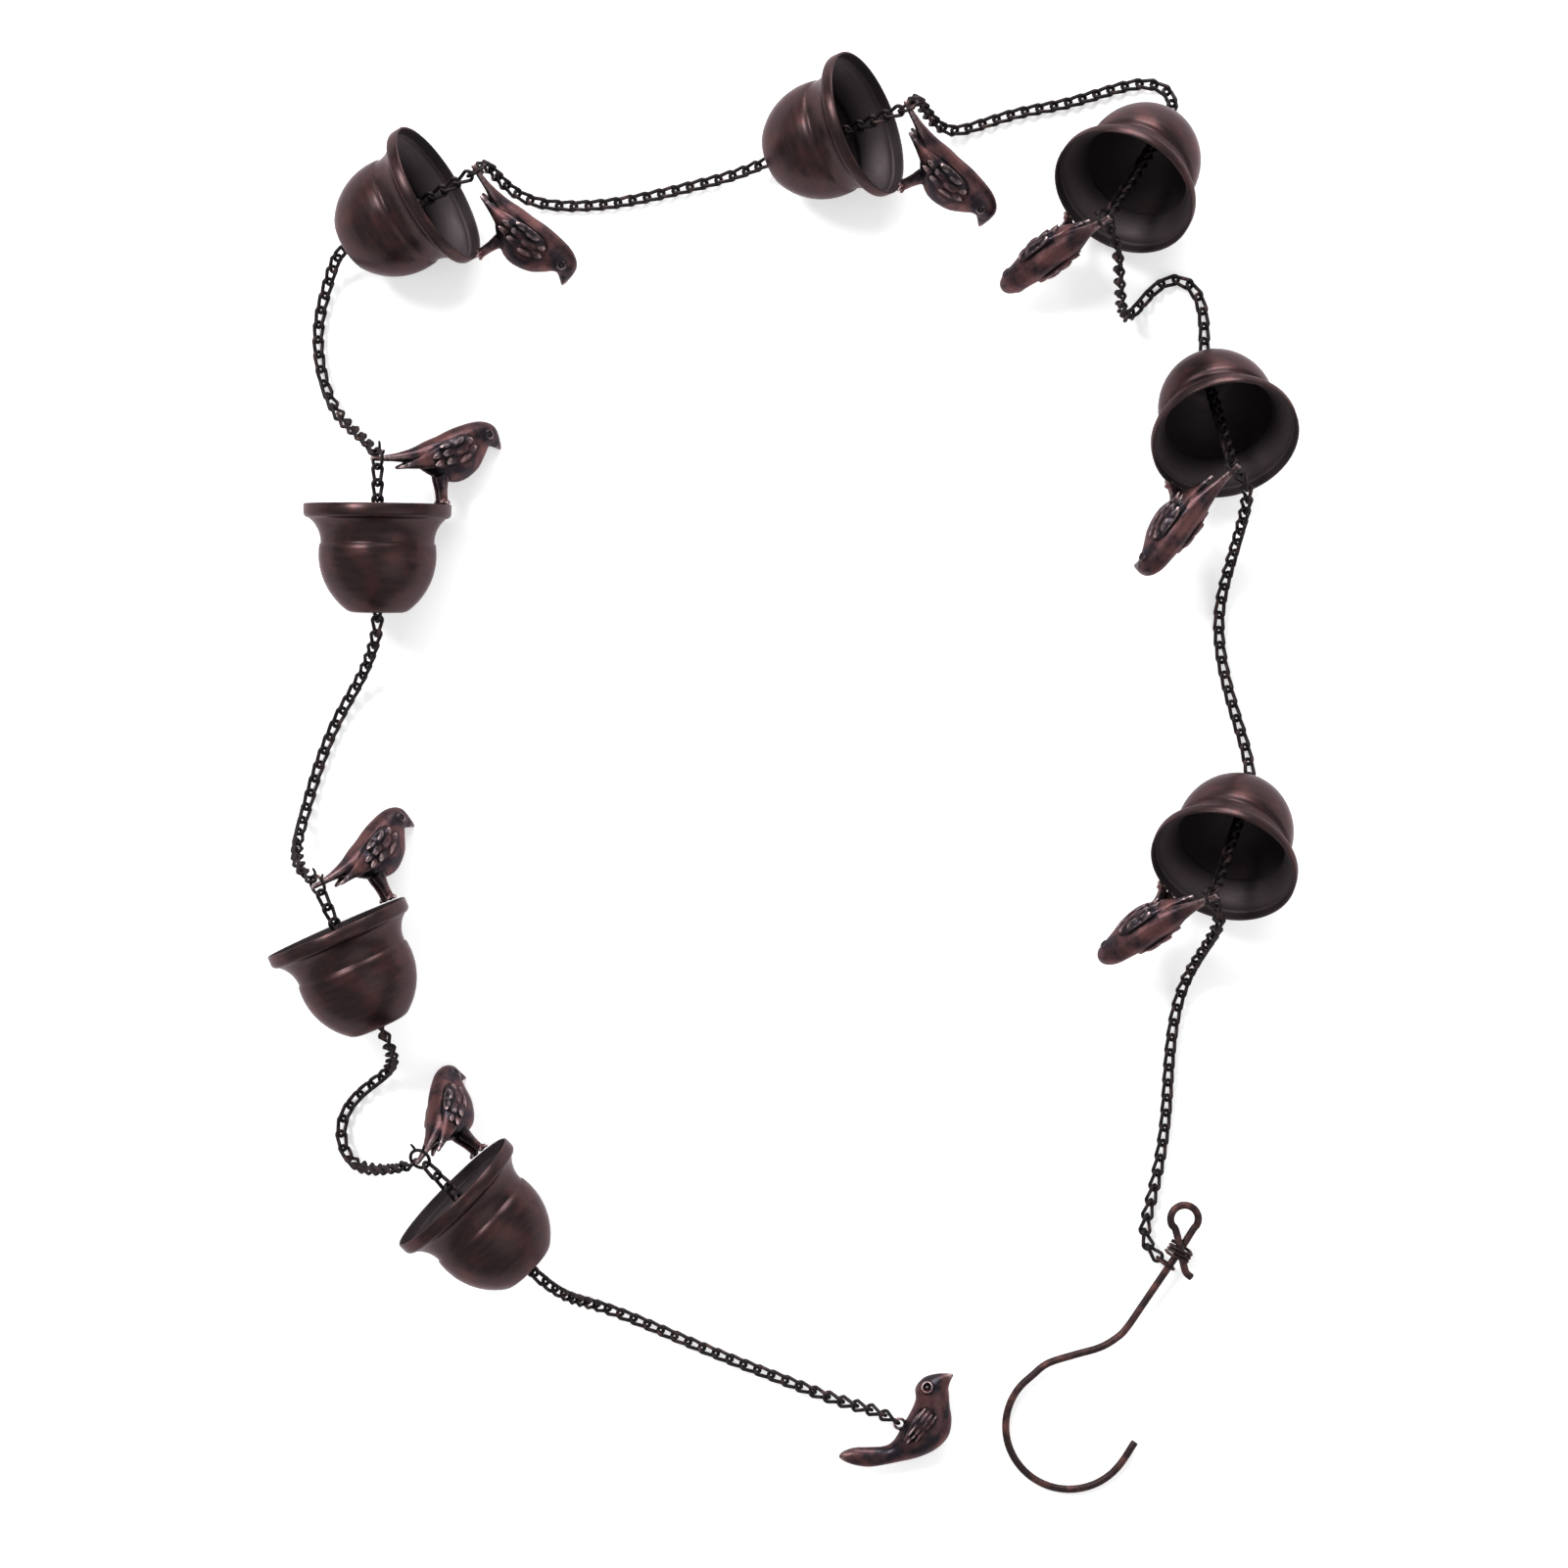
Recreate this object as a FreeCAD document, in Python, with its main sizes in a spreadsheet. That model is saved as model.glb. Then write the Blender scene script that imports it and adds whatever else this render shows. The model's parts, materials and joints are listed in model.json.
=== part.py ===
"""Rain chain laid out on a flat floor: a wire hook, nine runs of twisted-link chain, eight spun
cups that each carry a cast bird, and a cast bird as the end weight. Millimetres, +Z up, the
floor at Z = 0 and the origin under the middle of the laid outline."""
import FreeCAD, Part
import math
import os

import Sketcher
from FreeCAD import Placement, Rotation, Vector

doc = FreeCAD.newDocument("rain_chain")

# Driving sizes: millimetres and degrees
SIZES = {
    "chain_wire": 1.9,
    "link_width": 7.4,
    "link_pitch": 9.3,
    "laid_pitch": 8.5,
    "link_twist": 42.0,
    "link_gap": 0.25,
    "ring_wire": 1.9,
    "ring_radius": 5.6,
    "cup_rim_radius": 41.0,
    "cup_band": 8.0,
    "cup_band_corner": 3.0,
    "cup_neck_radius": 31.5,
    "cup_neck_drop": 21.0,
    "cup_neck_curve": 17.0,
    "cup_step": 0.8,
    "cup_bowl_curve": 39.0,
    "cup_base_radius": 15.3,
    "cup_height": 60.5,
    "cup_wall": 1.2,
    "drain_radius": 6.0,
    "perch_height": 25.2,
    "waist_width": 3.0,
    "waist_thickness": 2.6,
    "leg_spread": 5.0,
    "leg_radius": 2.1,
    "foot_height": 1.6,
    "head_radius": 7.4,
    "eye_radius": 1.6,
    "hook_wire": 4.0,
    "hook_bend_radius": 36.4,
    "hook_corner_radius": 8.0,
    "hook_eye_radius": 8.0,
    "hook_gap": 0.3,
    "binding_wire": 1.9,
    "binding_turns": 3.0,
    "eyelet_wire": 1.8,
    "eyelet_radius": 2.9,
    "end_head_radius": 8.6,
    "floor_gap": 0.2,
}

# Where each cup lies: middle of the mouth on the floor plan, the way the mouth faces, how far the
# mouth tips up, how far the bird has rolled down from level, and the side of the ring that the
# run above pulls towards (degrees).
CUPS = {
    1: {"x": 243.0, "y": -46.0, "heading": -117.0, "tilt": 43.0, "roll": 62.0, "pull": 65.0},
    2: {"x": 244.5, "y": 190.0, "heading": -84.0, "tilt": 45.0, "roll": 45.0, "pull": 65.0},
    3: {"x": 188.0, "y": 328.0, "heading": -122.0, "tilt": 34.5, "roll": 67.0, "pull": 70.0},
    4: {"x": 47.0, "y": 368.0, "heading": 15.5, "tilt": 27.0, "roll": 28.0, "pull": 85.0},
    5: {"x": -192.5, "y": 330.0, "heading": 26.0, "tilt": 17.0, "roll": 20.0, "pull": 80.0},
    6: {"x": -226.5, "y": 156.0, "heading": 89.5, "tilt": 4.0, "roll": 35.0, "pull": 50.0},
    7: {"x": -248.0, "y": -79.0, "heading": 113.5, "tilt": 3.0, "roll": 45.0, "pull": 40.0},
    8: {"x": -182.5, "y": -224.0, "heading": 134.0, "tilt": 6.0, "roll": 60.0, "pull": 80.0},
}

# Routes of the runs between a cup's drain and the next ring, chosen by hand: points that draw the
# run's curve, on the floor plan, with a height over the floor where the run is in the air.
ROUTES = {
    1: [(205, -253), (210, -236), (215, -212), (218, -190), (219, -168), (221, -140), (228, -108)],
    2: [(265, 16), (257, 40), (250, 66), (247, 90), (250, 114)],
    3: [(240, 256), (239, 277), (228, 290), (213, 286), (202, 271), (193, 262, 10), (188, 270, 32)],
    4: [(224, 391, 4), (210, 402), (186, 396), (160, 387), (136, 384), (112, 376), (94, 370), (82, 376, 16)],
    5: [(-28, 347), (-56, 340), (-84, 333), (-112, 329), (-144, 330), (-160, 340, 12)],
    6: [(-260, 286), (-266, 265), (-266, 244), (-262, 226), (-252, 206, 12)],
    7: [(-231, 76, 26), (-240, 60, 6), (-255, 38), (-266, 10), (-273, -16), (-276, -36, 18)],
    8: [(-218, -155, 30), (-226, -165, 6), (-240, -174), (-252, -187), (-254, -204), (-243, -219, 14)],
    9: [(-122, -286, 40), (-110, -294, 12), (-90, -303), (-67, -313), (-34, -327), (0, -340), (33, -353)],
}

sheet = doc.addObject("Spreadsheet::Sheet", "sizes")
for row, (alias, value) in enumerate(SIZES.items(), start=1):
    sheet.set(f"A{row}", alias)
    sheet.set(f"B{row}", str(value))
    sheet.setAlias(f"B{row}", alias)
doc.recompute()


def size(alias):
    """Current value of a driving size."""
    return float(sheet.get(alias))


def bind(obj, **expressions):
    """Tie properties of an object to the sheet."""
    for name, expression in expressions.items():
        obj.setExpression(name, expression)


sub_parts = []


def add_copy(label, master, placement):
    """A sub-part that repeats a master at a place of its own."""
    node = doc.addObject("Part::Compound", label)
    node.Label = label
    node.Links = [master]
    node.Placement = placement
    sub_parts.append(node)
    return node


def add_shape(label, shape, placement=None):
    """A sub-part whose shape is made by Part's own functions."""
    node = doc.addObject("Part::Feature", label)
    node.Label = label
    node.Shape = shape
    if placement is not None:
        node.Placement = placement
    sub_parts.append(node)
    return node


def fused(name, pieces):
    """One casting out of several forms."""
    body = doc.addObject("Part::MultiFuse", name)
    body.Shapes = pieces
    body.Refine = True
    return body


def turn_y(degrees):
    """Rotation that lifts +X towards +Z."""
    return Rotation(Vector(0, -1, 0), degrees)


def rounded_wire(points, radii):
    """Straight runs joined by tangent arcs, with one radius for each inner point."""
    edges = []
    start = points[0]
    for before, corner, after, radius in zip(points, points[1:], points[2:], radii):
        towards = (before - corner).normalize()
        away = (after - corner).normalize()
        half = towards.getAngle(away) / 2
        reach = radius / math.tan(half)
        bisector = (towards + away).normalize()
        centre = corner + bisector * (radius / math.sin(half))
        first = corner + towards * reach
        last = corner + away * reach
        if (first - start).Length > 1e-4:
            edges.append(Part.LineSegment(start, first).toShape())
        edges.append(Part.Arc(first, centre - bisector * radius, last).toShape())
        start = last
    edges.append(Part.LineSegment(start, points[-1]).toShape())
    return Part.Wire(edges)


def wire_solid(path, diameter):
    """Round wire along a path."""
    first = path.OrderedEdges[0]
    start = first.valueAt(first.FirstParameter)
    section = Part.Wire(Part.makeCircle(diameter / 2, start, first.tangentAt(first.FirstParameter)))
    return path.makePipeShell([section], True, False)


# Cup: an outer profile turned about the cup's axis, hollowed to the sheet's wall, with the drain
# cut through the flat base. The lip is at Z = 0 and the mouth faces +Z.
def origin_plane(body, role):
    """A base plane of a body."""
    return next(plane for plane in body.Origin.OriginFeatures if plane.Role == role)


def make_sketch(body, name, role):
    """A sketch on one of the body's own base planes."""
    sketch = body.newObject("Sketcher::SketchObject", name)
    sketch.AttachmentSupport = [(origin_plane(body, role), "")]
    sketch.MapMode = "FlatFace"
    return sketch


def pin_point(sketch, edge, place, across, down):
    """Hold the end of an edge that lies at a place, at a distance from the axis and below the lip."""
    end = end_at(sketch, edge, place)
    for kind, ends, start, expression in (
        ("DistanceX", (-1, 1, edge, end), place.x, across),
        ("DistanceY", (edge, end, -1, 1), -place.y, down),
    ):
        index = sketch.addConstraint(Sketcher.Constraint(kind, *ends, start))
        sketch.setExpression(f"Constraints[{index}]", expression)


def end_at(sketch, edge, place):
    """Number of the end of an edge that lies at a place."""
    line = sketch.Geometry[edge]
    return 1 if (line.StartPoint - place).Length < (line.EndPoint - place).Length else 2


def arc_between(start, end, radius, bulge):
    """Arc between two points whose middle lies on the bulge side of the chord."""
    chord = end - start
    normal = Vector(-chord.y, chord.x, 0).normalize()
    if normal.dot(bulge) < 0:
        normal = normal * -1
    centre = (start + end) * 0.5 - normal * math.sqrt(radius**2 - (chord.Length / 2) ** 2)
    angles = [math.atan2(place.y - centre.y, place.x - centre.x) for place in (start, end)]
    if (angles[1] - angles[0]) % (2 * math.pi) > math.pi:
        angles.reverse()
    return Part.ArcOfCircle(Part.Circle(centre, Vector(0, 0, 1), radius), *angles)


def make_cup():
    """Master of the spun cups."""
    body = doc.addObject("PartDesign::Body", "cup")
    profile = make_sketch(body, "cup_profile", "XZ_Plane")
    rim = size("cup_rim_radius")
    band = size("cup_band")
    corner = size("cup_band_corner")
    neck = size("cup_neck_radius")
    drop = size("cup_neck_drop")
    step = size("cup_step")
    base = size("cup_base_radius")
    height = size("cup_height")
    axis_top = Vector(0, 0, 0)
    lip = Vector(rim, 0, 0)
    band_end = Vector(rim, corner - band, 0)
    shoulder = Vector(rim - corner, -band, 0)
    neck_top = Vector(neck, -drop, 0)
    ridge_top = Vector(neck, -drop - step, 0)
    ridge_low = Vector(neck + step, -drop - 2 * step, 0)
    base_edge = Vector(base, -height, 0)
    axis_low = Vector(0, -height, 0)
    outwards = Vector(1, 0, 0)
    edges = [
        Part.LineSegment(axis_top, lip),
        Part.LineSegment(lip, band_end),
        arc_between(band_end, shoulder, corner, Vector(1, -1, 0)),
        arc_between(shoulder, neck_top, size("cup_neck_curve"), Vector(-1, 0, 0)),
        Part.LineSegment(neck_top, ridge_top),
        Part.LineSegment(ridge_top, ridge_low),
        arc_between(ridge_low, base_edge, size("cup_bowl_curve"), outwards),
        Part.LineSegment(base_edge, axis_low),
        Part.LineSegment(axis_low, axis_top),
    ]
    ends = [(axis_top, lip), (lip, band_end), (band_end, shoulder), (shoulder, neck_top), (neck_top, ridge_top),
            (ridge_top, ridge_low), (ridge_low, base_edge), (base_edge, axis_low), (axis_low, axis_top)]
    profile.addGeometry(edges, False)

    for index, (_, last) in enumerate(ends):
        follower = (index + 1) % len(ends)
        joined = (index, end_at(profile, index, last), follower, end_at(profile, follower, last))
        profile.addConstraint(Sketcher.Constraint("Coincident", *joined))
    profile.addConstraint(Sketcher.Constraint("Coincident", 0, end_at(profile, 0, axis_top), -1, 1))
    profile.addConstraint(Sketcher.Constraint("PointOnObject", 7, end_at(profile, 7, axis_low), -2))
    profile.addConstraint(Sketcher.Constraint("Horizontal", 0))
    profile.addConstraint(Sketcher.Constraint("Horizontal", 7))
    profile.addConstraint(Sketcher.Constraint("Vertical", 1))
    pin_point(profile, 1, band_end, "sizes.cup_rim_radius", "sizes.cup_band - sizes.cup_band_corner")
    pin_point(profile, 2, shoulder, "sizes.cup_rim_radius - sizes.cup_band_corner", "sizes.cup_band")
    pin_point(profile, 3, neck_top, "sizes.cup_neck_radius", "sizes.cup_neck_drop")
    pin_point(profile, 4, ridge_top, "sizes.cup_neck_radius", "sizes.cup_neck_drop + sizes.cup_step")
    pin_point(profile, 5, ridge_low, "sizes.cup_neck_radius + sizes.cup_step",
              "sizes.cup_neck_drop + 2 * sizes.cup_step")
    pin_point(profile, 6, base_edge, "sizes.cup_base_radius", "sizes.cup_height")
    for edge, radius in ((2, "cup_band_corner"), (3, "cup_neck_curve"), (6, "cup_bowl_curve")):
        index = profile.addConstraint(Sketcher.Constraint("Radius", edge, size(radius)))
        profile.setExpression(f"Constraints[{index}]", f"sizes.{radius}")
    turned = body.newObject("PartDesign::Revolution", "cup_turned")
    turned.Profile = profile
    turned.ReferenceAxis = (profile, ["V_Axis"])
    turned.Angle = 360
    doc.recompute()
    mouth = next(
        f"Face{number}"
        for number, face in enumerate(turned.Shape.Faces, start=1)
        if abs(face.CenterOfMass.z) < 1e-6
    )
    hollow = body.newObject("PartDesign::Thickness", "cup_hollow")
    hollow.Base = (turned, [mouth])
    hollow.Mode = "Skin"
    hollow.Join = "Intersection"
    hollow.Reversed = True
    bind(hollow, Value="sizes.cup_wall")
    drain = make_sketch(body, "cup_drain", "XY_Plane")
    drain.addGeometry(Part.Circle(Vector(0, 0, 0), Vector(0, 0, 1), size("drain_radius")), False)
    drain.addConstraint(Sketcher.Constraint("Coincident", 0, 3, -1, 1))
    index = drain.addConstraint(Sketcher.Constraint("Radius", 0, size("drain_radius")))
    drain.setExpression(f"Constraints[{index}]", "sizes.drain_radius")
    hole = body.newObject("PartDesign::Pocket", "cup_drain_cut")
    hole.Profile = drain
    hole.Type = "ThroughAll"
    doc.recompute()
    return body


# Castings: smooth bodies lofted through oval stations along the back's line.
def oval(name, centre, slope, half_height, half_width):
    """An oval station: its plane stands across a line that climbs by slope."""
    station = doc.addObject("Part::Ellipse", name)
    lying = half_width >= half_height
    station.MajorRadius = max(half_width, half_height)
    station.MinorRadius = min(half_width, half_height)
    across = Rotation(Vector(0, 1, 0), Vector(0, 0, 1), Vector(1, 0, 0), "ZXY")
    upright = Rotation() if lying else Rotation(Vector(1, 0, 0), 90)
    station.Placement = Placement(centre, turn_y(slope) * upright * across)
    return station


def lofted(name, stations):
    """Solid through a row of ovals."""
    loft = doc.addObject("Part::Loft", name)
    loft.Sections = [oval(f"{name}_{number}", *station) for number, station in enumerate(stations, start=1)]
    loft.Solid = True
    loft.Ruled = False
    return loft


def ball(name, centre, radius_alias):
    """A sphere of a driving radius."""
    sphere = doc.addObject("Part::Sphere", name)
    bind(sphere, Radius=f"sizes.{radius_alias}")
    sphere.Placement = Placement(centre, Rotation())
    return sphere


def spike(name, root, tip, root_radius, tip_radius):
    """A cone from root to tip."""
    cone = doc.addObject("Part::Cone", name)
    cone.Radius1 = root_radius
    cone.Radius2 = tip_radius
    cone.Height = (tip - root).Length
    cone.Placement = Placement(root, Rotation(Vector(0, 0, 1), tip - root))
    return cone


def make_bird():
    """Master of the perched birds in the cup's frame: +X from the cup's axis over the rim."""
    perch = size("perch_height")
    foot = size("cup_rim_radius") - size("cup_wall") / 2
    waist_high = size("waist_thickness") / 2
    waist_wide = size("waist_width") / 2

    def behind(share, lift):
        """Place between the cup's axis and the legs."""
        return Vector(foot * share, 0, perch + lift)

    def ahead(reach, lift):
        """Place beyond the legs."""
        return Vector(foot + reach, 0, perch + lift)

    body = lofted("bird_body", [
        (behind(-0.095, 0.0), 2, 1.5, 2.9),
        (behind(-0.06, 0.0), 3, waist_high, waist_wide + 0.7),
        (behind(0.0, 0.0), 4, waist_high, waist_wide),
        (behind(0.10, 0.3), 5, waist_high + 0.3, waist_wide + 0.8),
        (behind(0.30, 1.0), 6, 2.3, 3.2),
        (behind(0.55, 1.6), 8, 4.6, 5.6),
        (behind(0.82, 0.6), 14, 9.6, 9.0),
        (ahead(3.6, 1.6), 24, 12.6, 10.4),
        (ahead(13.4, 5.2), 30, 11.8, 9.6),
        (ahead(21.5, 9.0), 27, 10.0, 8.0),
        (ahead(27.0, 11.4), 12, 6.8, 6.2),
    ])
    head = ball("bird_head", ahead(26.4, 11.8), "head_radius")
    beak = spike("bird_beak", ahead(31.0, 10.6), ahead(38.2, 5.6), 4.0, 0.5)
    pieces = [body, head, beak]
    for side, hand in ((1, "left"), (-1, "right")):
        def aside(place, out):
            """A place moved out to this side."""
            return place + Vector(0, side * out, 0)

        pieces.append(lofted(f"bird_wing_{hand}", [
            (aside(behind(0.33, -4.8), 3.0), 14, 0.9, 0.8),
            (aside(behind(0.52, -2.6), 4.8), 14, 2.8, 1.8),
            (aside(behind(0.80, 0.0), 7.6), 18, 5.6, 2.8),
            (aside(ahead(4.0, 3.6), 8.8), 24, 7.8, 3.0),
            (aside(ahead(13.0, 7.4), 8.2), 30, 6.4, 2.4),
            (aside(ahead(18.5, 9.6), 7.0), 30, 2.2, 1.2),
        ]))
        pieces.append(ball(f"bird_eye_{hand}", aside(ahead(26.0, 12.2), 6.6), "eye_radius"))
        ankle = Vector(foot, side * size("leg_spread") / 2, size("foot_height") / 2)
        hip = aside(ahead(-1.6, -8.0), size("leg_spread") / 2)
        pieces.append(spike(f"bird_leg_{hand}", ankle, hip, size("leg_radius") * 0.9, size("leg_radius") * 1.3))
        pad = doc.addObject("Part::Cylinder", f"bird_foot_{hand}")
        bind(pad, Radius="sizes.leg_radius * 1.25", Height="sizes.foot_height")
        pad.Placement = Placement(Vector(foot, side * size("leg_spread") / 2, 0), Rotation())
        pieces.append(pad)
    casting = fused("bird_casting", pieces)
    notch = doc.addObject("Part::Box", "bird_tail_notch")
    bind(notch, Length="sizes.waist_width * 0.7", Width="sizes.waist_width * 0.7", Height="sizes.perch_height")
    notch.Placement = Placement(behind(-0.125, 0.0) - Vector(0, 0, perch / 2), Rotation(Vector(0, 0, 1), -45))
    bird = doc.addObject("Part::Cut", "bird")
    bird.Base = casting
    bird.Tool = notch
    doc.recompute()
    return bird


def make_end_bird():
    """The end weight, drawn upright: +X from tail to beak, +Z up its back, tail tip at the origin."""
    def at(along, lift):
        return Vector(along, 0, lift)

    body = lofted("end_body", [
        (at(0.6, -1.2), -24, 3.0, 3.6),
        (at(8.0, -4.8), -28, 4.4, 4.6),
        (at(18.0, -10.2), -27, 6.0, 6.0),
        (at(29.0, -15.4), -20, 9.6, 8.4),
        (at(41.0, -18.2), 0, 12.4, 10.0),
        (at(52.0, -16.0), 28, 12.4, 10.0),
        (at(58.5, -9.0), 55, 10.0, 8.6),
        (at(61.0, -3.4), 66, 8.2, 7.6),
    ])
    head = ball("end_head", at(61.4, -0.4), "end_head_radius")
    beak = spike("end_beak", at(67.5, -0.8), at(78.6, -2.8), 4.4, 0.5)
    eyelet = doc.addObject("Part::Torus", "end_eyelet")
    bind(eyelet, Radius1="sizes.eyelet_radius", Radius2="sizes.eyelet_wire / 2")
    eyelet.Placement = Placement(END_EYELET, Rotation(Vector(0, 0, 1), Vector(0, 1, 0)))
    pieces = [body, head, beak, eyelet]
    for side, hand in ((1, "left"), (-1, "right")):
        def aside(along, lift, out):
            return Vector(along, side * out, lift)

        pieces.append(lofted(f"end_wing_{hand}", [
            (aside(20.0, -9.6, 5.0), -26, 1.4, 1.0),
            (aside(29.0, -13.4, 7.4), -22, 4.4, 2.2),
            (aside(40.0, -15.6, 8.6), 0, 7.4, 2.8),
            (aside(50.0, -13.6, 8.4), 26, 5.8, 2.4),
            (aside(55.0, -10.6, 7.8), 40, 2.2, 1.4),
        ]))
        pieces.append(ball(f"end_eye_{hand}", aside(62.6, 1.6, 7.6), "eye_radius"))
    bird = fused("end_casting", pieces)
    doc.recompute()
    return bird


END_EYELET = Vector(38.0, 0, -3.6)
END_TAIL_TIP = Vector(33.0, -383.0, 0)
END_HEADING = 36.5
END_PULL = Vector(-0.87, 0.5, 0)


# Hook: one wire in plan, from the open tip round the bend, up the shank and round the eye.
HOOK_BEND_CENTRE = Vector(162.7, -366.5, 0)
HOOK_TIP_ANGLE = -31.5
HOOK_TIP_LENGTH = 12.0
HOOK_SWEEP = 219.0
HOOK_CORNER = Vector(190.2, -314.8, 0)
HOOK_NECK = Vector(224.5, -265.5, 0)
HOOK_EYE_CENTRE = Vector(227.1, -247.0, 0)
HOOK_SPUR = Vector(228.6, -281.0, 0)
HOOK_LIFT = 7.5
HOOK_PULL = Vector(-0.82, 0.57, -0.3)
HOOK_RING_DROP = 10.0


def make_hook():
    """The hook's wire, flat in plan, with its end laid over the neck."""
    bend = size("hook_bend_radius")
    wire = size("hook_wire")
    eye = size("hook_eye_radius")
    corners = 3
    part = math.radians(HOOK_SWEEP / corners)
    tip_angle = math.radians(HOOK_TIP_ANGLE)
    arc_start = HOOK_BEND_CENTRE + Vector(math.cos(tip_angle), math.sin(tip_angle), 0) * bend
    tip = arc_start - Vector(math.sin(tip_angle), -math.cos(tip_angle), 0) * HOOK_TIP_LENGTH
    points = [tip]
    radii = []
    for number in range(corners):
        angle = tip_angle - part * (number + 0.5)
        reach = bend / math.cos(part / 2)
        points.append(HOOK_BEND_CENTRE + Vector(math.cos(angle), math.sin(angle), 0) * reach)
        radii.append(bend)
    over = Vector(0, 0, wire + size("hook_gap"))
    points += [
        HOOK_CORNER,
        HOOK_NECK,
        HOOK_EYE_CENTRE + Vector(eye, eye, 0),
        HOOK_EYE_CENTRE + Vector(-eye, eye, 0) + over * 0.3,
        HOOK_NECK + Vector(0.4, 0.6, 0) + over,
        HOOK_SPUR + over * 0.8,
    ]
    corner = size("hook_corner_radius")
    radii += [corner, corner, eye * 0.8, eye * 0.8, corner]
    return wire_solid(rounded_wire(points, radii), wire)


def hook_placement():
    """The hook lies on its bend, with the eye lifted by the ring under it."""
    along = HOOK_EYE_CENTRE - HOOK_BEND_CENTRE
    lean = math.degrees(math.atan2(HOOK_LIFT, along.Length))
    turn = Rotation(along.cross(Vector(0, 0, 1)), lean)
    return Placement(Vector(0, 0, 0), turn, HOOK_BEND_CENTRE)


def hook_anchor(place):
    """The ring round the shank, between the binding and the wire's bent-out end."""
    shank = (HOOK_CORNER - HOOK_NECK).normalize()
    held = place.multVec(HOOK_NECK + shank * HOOK_RING_DROP)
    axis = place.Rotation.multVec(shank)
    pull = (HOOK_PULL - axis * HOOK_PULL.dot(axis)).normalize()
    slack = size("ring_radius") - size("ring_wire") / 2 - size("hook_wire") / 2 - size("hook_gap")
    return Anchor(held + pull * slack, axis, pull, size("ring_radius"), size("ring_wire"))


def make_binding():
    """Thin wire wound round the crossed wires of the neck."""
    wire = size("hook_wire")
    thin = size("binding_wire")
    turns = int(size("binding_turns"))
    along = (HOOK_EYE_CENTRE - HOOK_CORNER).normalize()
    across = Vector(-along.y, along.x, 0)
    up = Vector(0, 0, 1)
    middle = HOOK_NECK + up * (wire + size("hook_gap")) / 2
    half_wide = wire / 2 + thin / 2 + size("hook_gap") + wire * 0.7
    half_high = wire + thin / 2 + size("hook_gap") * 2
    pitch = thin * 1.15
    points = []
    for quarter in range(4 * turns + 1):
        slide = along * (pitch * (quarter / 4 - turns / 2))
        wide = half_wide if quarter % 4 in (0, 1) else -half_wide
        high = half_high if quarter % 4 in (1, 2) else -half_high
        points.append(middle + across * wide + up * high + slide)
    return wire_solid(rounded_wire(points, [wire * 0.8] * (len(points) - 2)), thin)


# Chain link: two end bends turned against each other about the link's length, joined by legs
# that cross over in two arcs. Length along X, all round wire.
def link_crowns():
    """Distance between the wire's centres at the two crowns of a link."""
    return size("link_pitch") + size("chain_wire")


def make_link():
    """Master of the links."""
    wire = size("chain_wire")
    bend = (size("link_width") - wire) / 2
    leg = link_crowns() - 2 * bend
    twist = math.radians(size("link_twist"))
    shift = 2 * bend * math.sin(twist)
    sweep = 2 * math.atan2(shift, leg)
    curve = leg / (2 * math.sin(sweep))
    pieces = []

    def torus(name, radius, centre, axis, start, degrees):
        """Part of a torus that begins at the direction start and turns about axis."""
        bow = doc.addObject("Part::Torus", name)
        bow.Radius1 = radius
        bind(bow, Radius2="sizes.chain_wire / 2")
        bow.Angle3 = degrees
        bow.Placement = Placement(centre, Rotation(start, axis.cross(start), axis, "ZXY"))
        pieces.append(bow)

    for end, name in ((1, "front"), (-1, "rear")):
        spread = Vector(0, math.cos(twist), end * math.sin(twist))
        axis = spread.cross(Vector(end, 0, 0))
        torus(f"link_{name}", bend, Vector(end * leg / 2, 0, 0), axis * -1, spread * -1, 180)
        for side, hand in ((1, "left"), (-1, "right")):
            foot = Vector(end * leg / 2, 0, 0) + spread * (side * bend)
            inward = Vector(0, 0, -side * end)
            start = inward * -1
            towards = Vector(-end, 0, 0)
            torus(f"link_leg_{name}_{hand}", curve, foot + inward * curve, start.cross(towards), start, math.degrees(sweep))
    link = fused("link", pieces)
    doc.recompute()
    return link


# Placing
def cup_placement(lay):
    """Rotation of a cup as it lies, its lowest point still to be set."""
    heading = math.radians(lay["heading"])
    tilt = math.radians(lay["tilt"])
    roll = math.radians(lay["roll"])
    ahead = Vector(math.cos(heading), math.sin(heading), 0)
    mouth = ahead * math.cos(tilt) + Vector(0, 0, math.sin(tilt))
    level = Vector(math.sin(heading), -math.cos(heading), 0)
    down = ahead * math.sin(tilt) - Vector(0, 0, math.cos(tilt))
    perch = level * math.cos(roll) + down * math.sin(roll)
    return Placement(Vector(lay["x"], lay["y"], 0), Rotation(perch, mouth.cross(perch), mouth, "ZXY"))


def lowest(shape):
    """Height of a shape's lowest point."""
    return shape.optimalBoundingBox(False, False).ZMin


class Anchor:
    """A ring that a run hooks into: its middle, its axis, the way the run leaves and its wire."""

    def __init__(self, centre, axis, pull, radius, wire):
        self.centre = centre
        self.axis = axis
        self.pull = pull
        self.seat = radius - wire / 2 - size("chain_wire") / 2 - size("link_gap")


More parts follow.
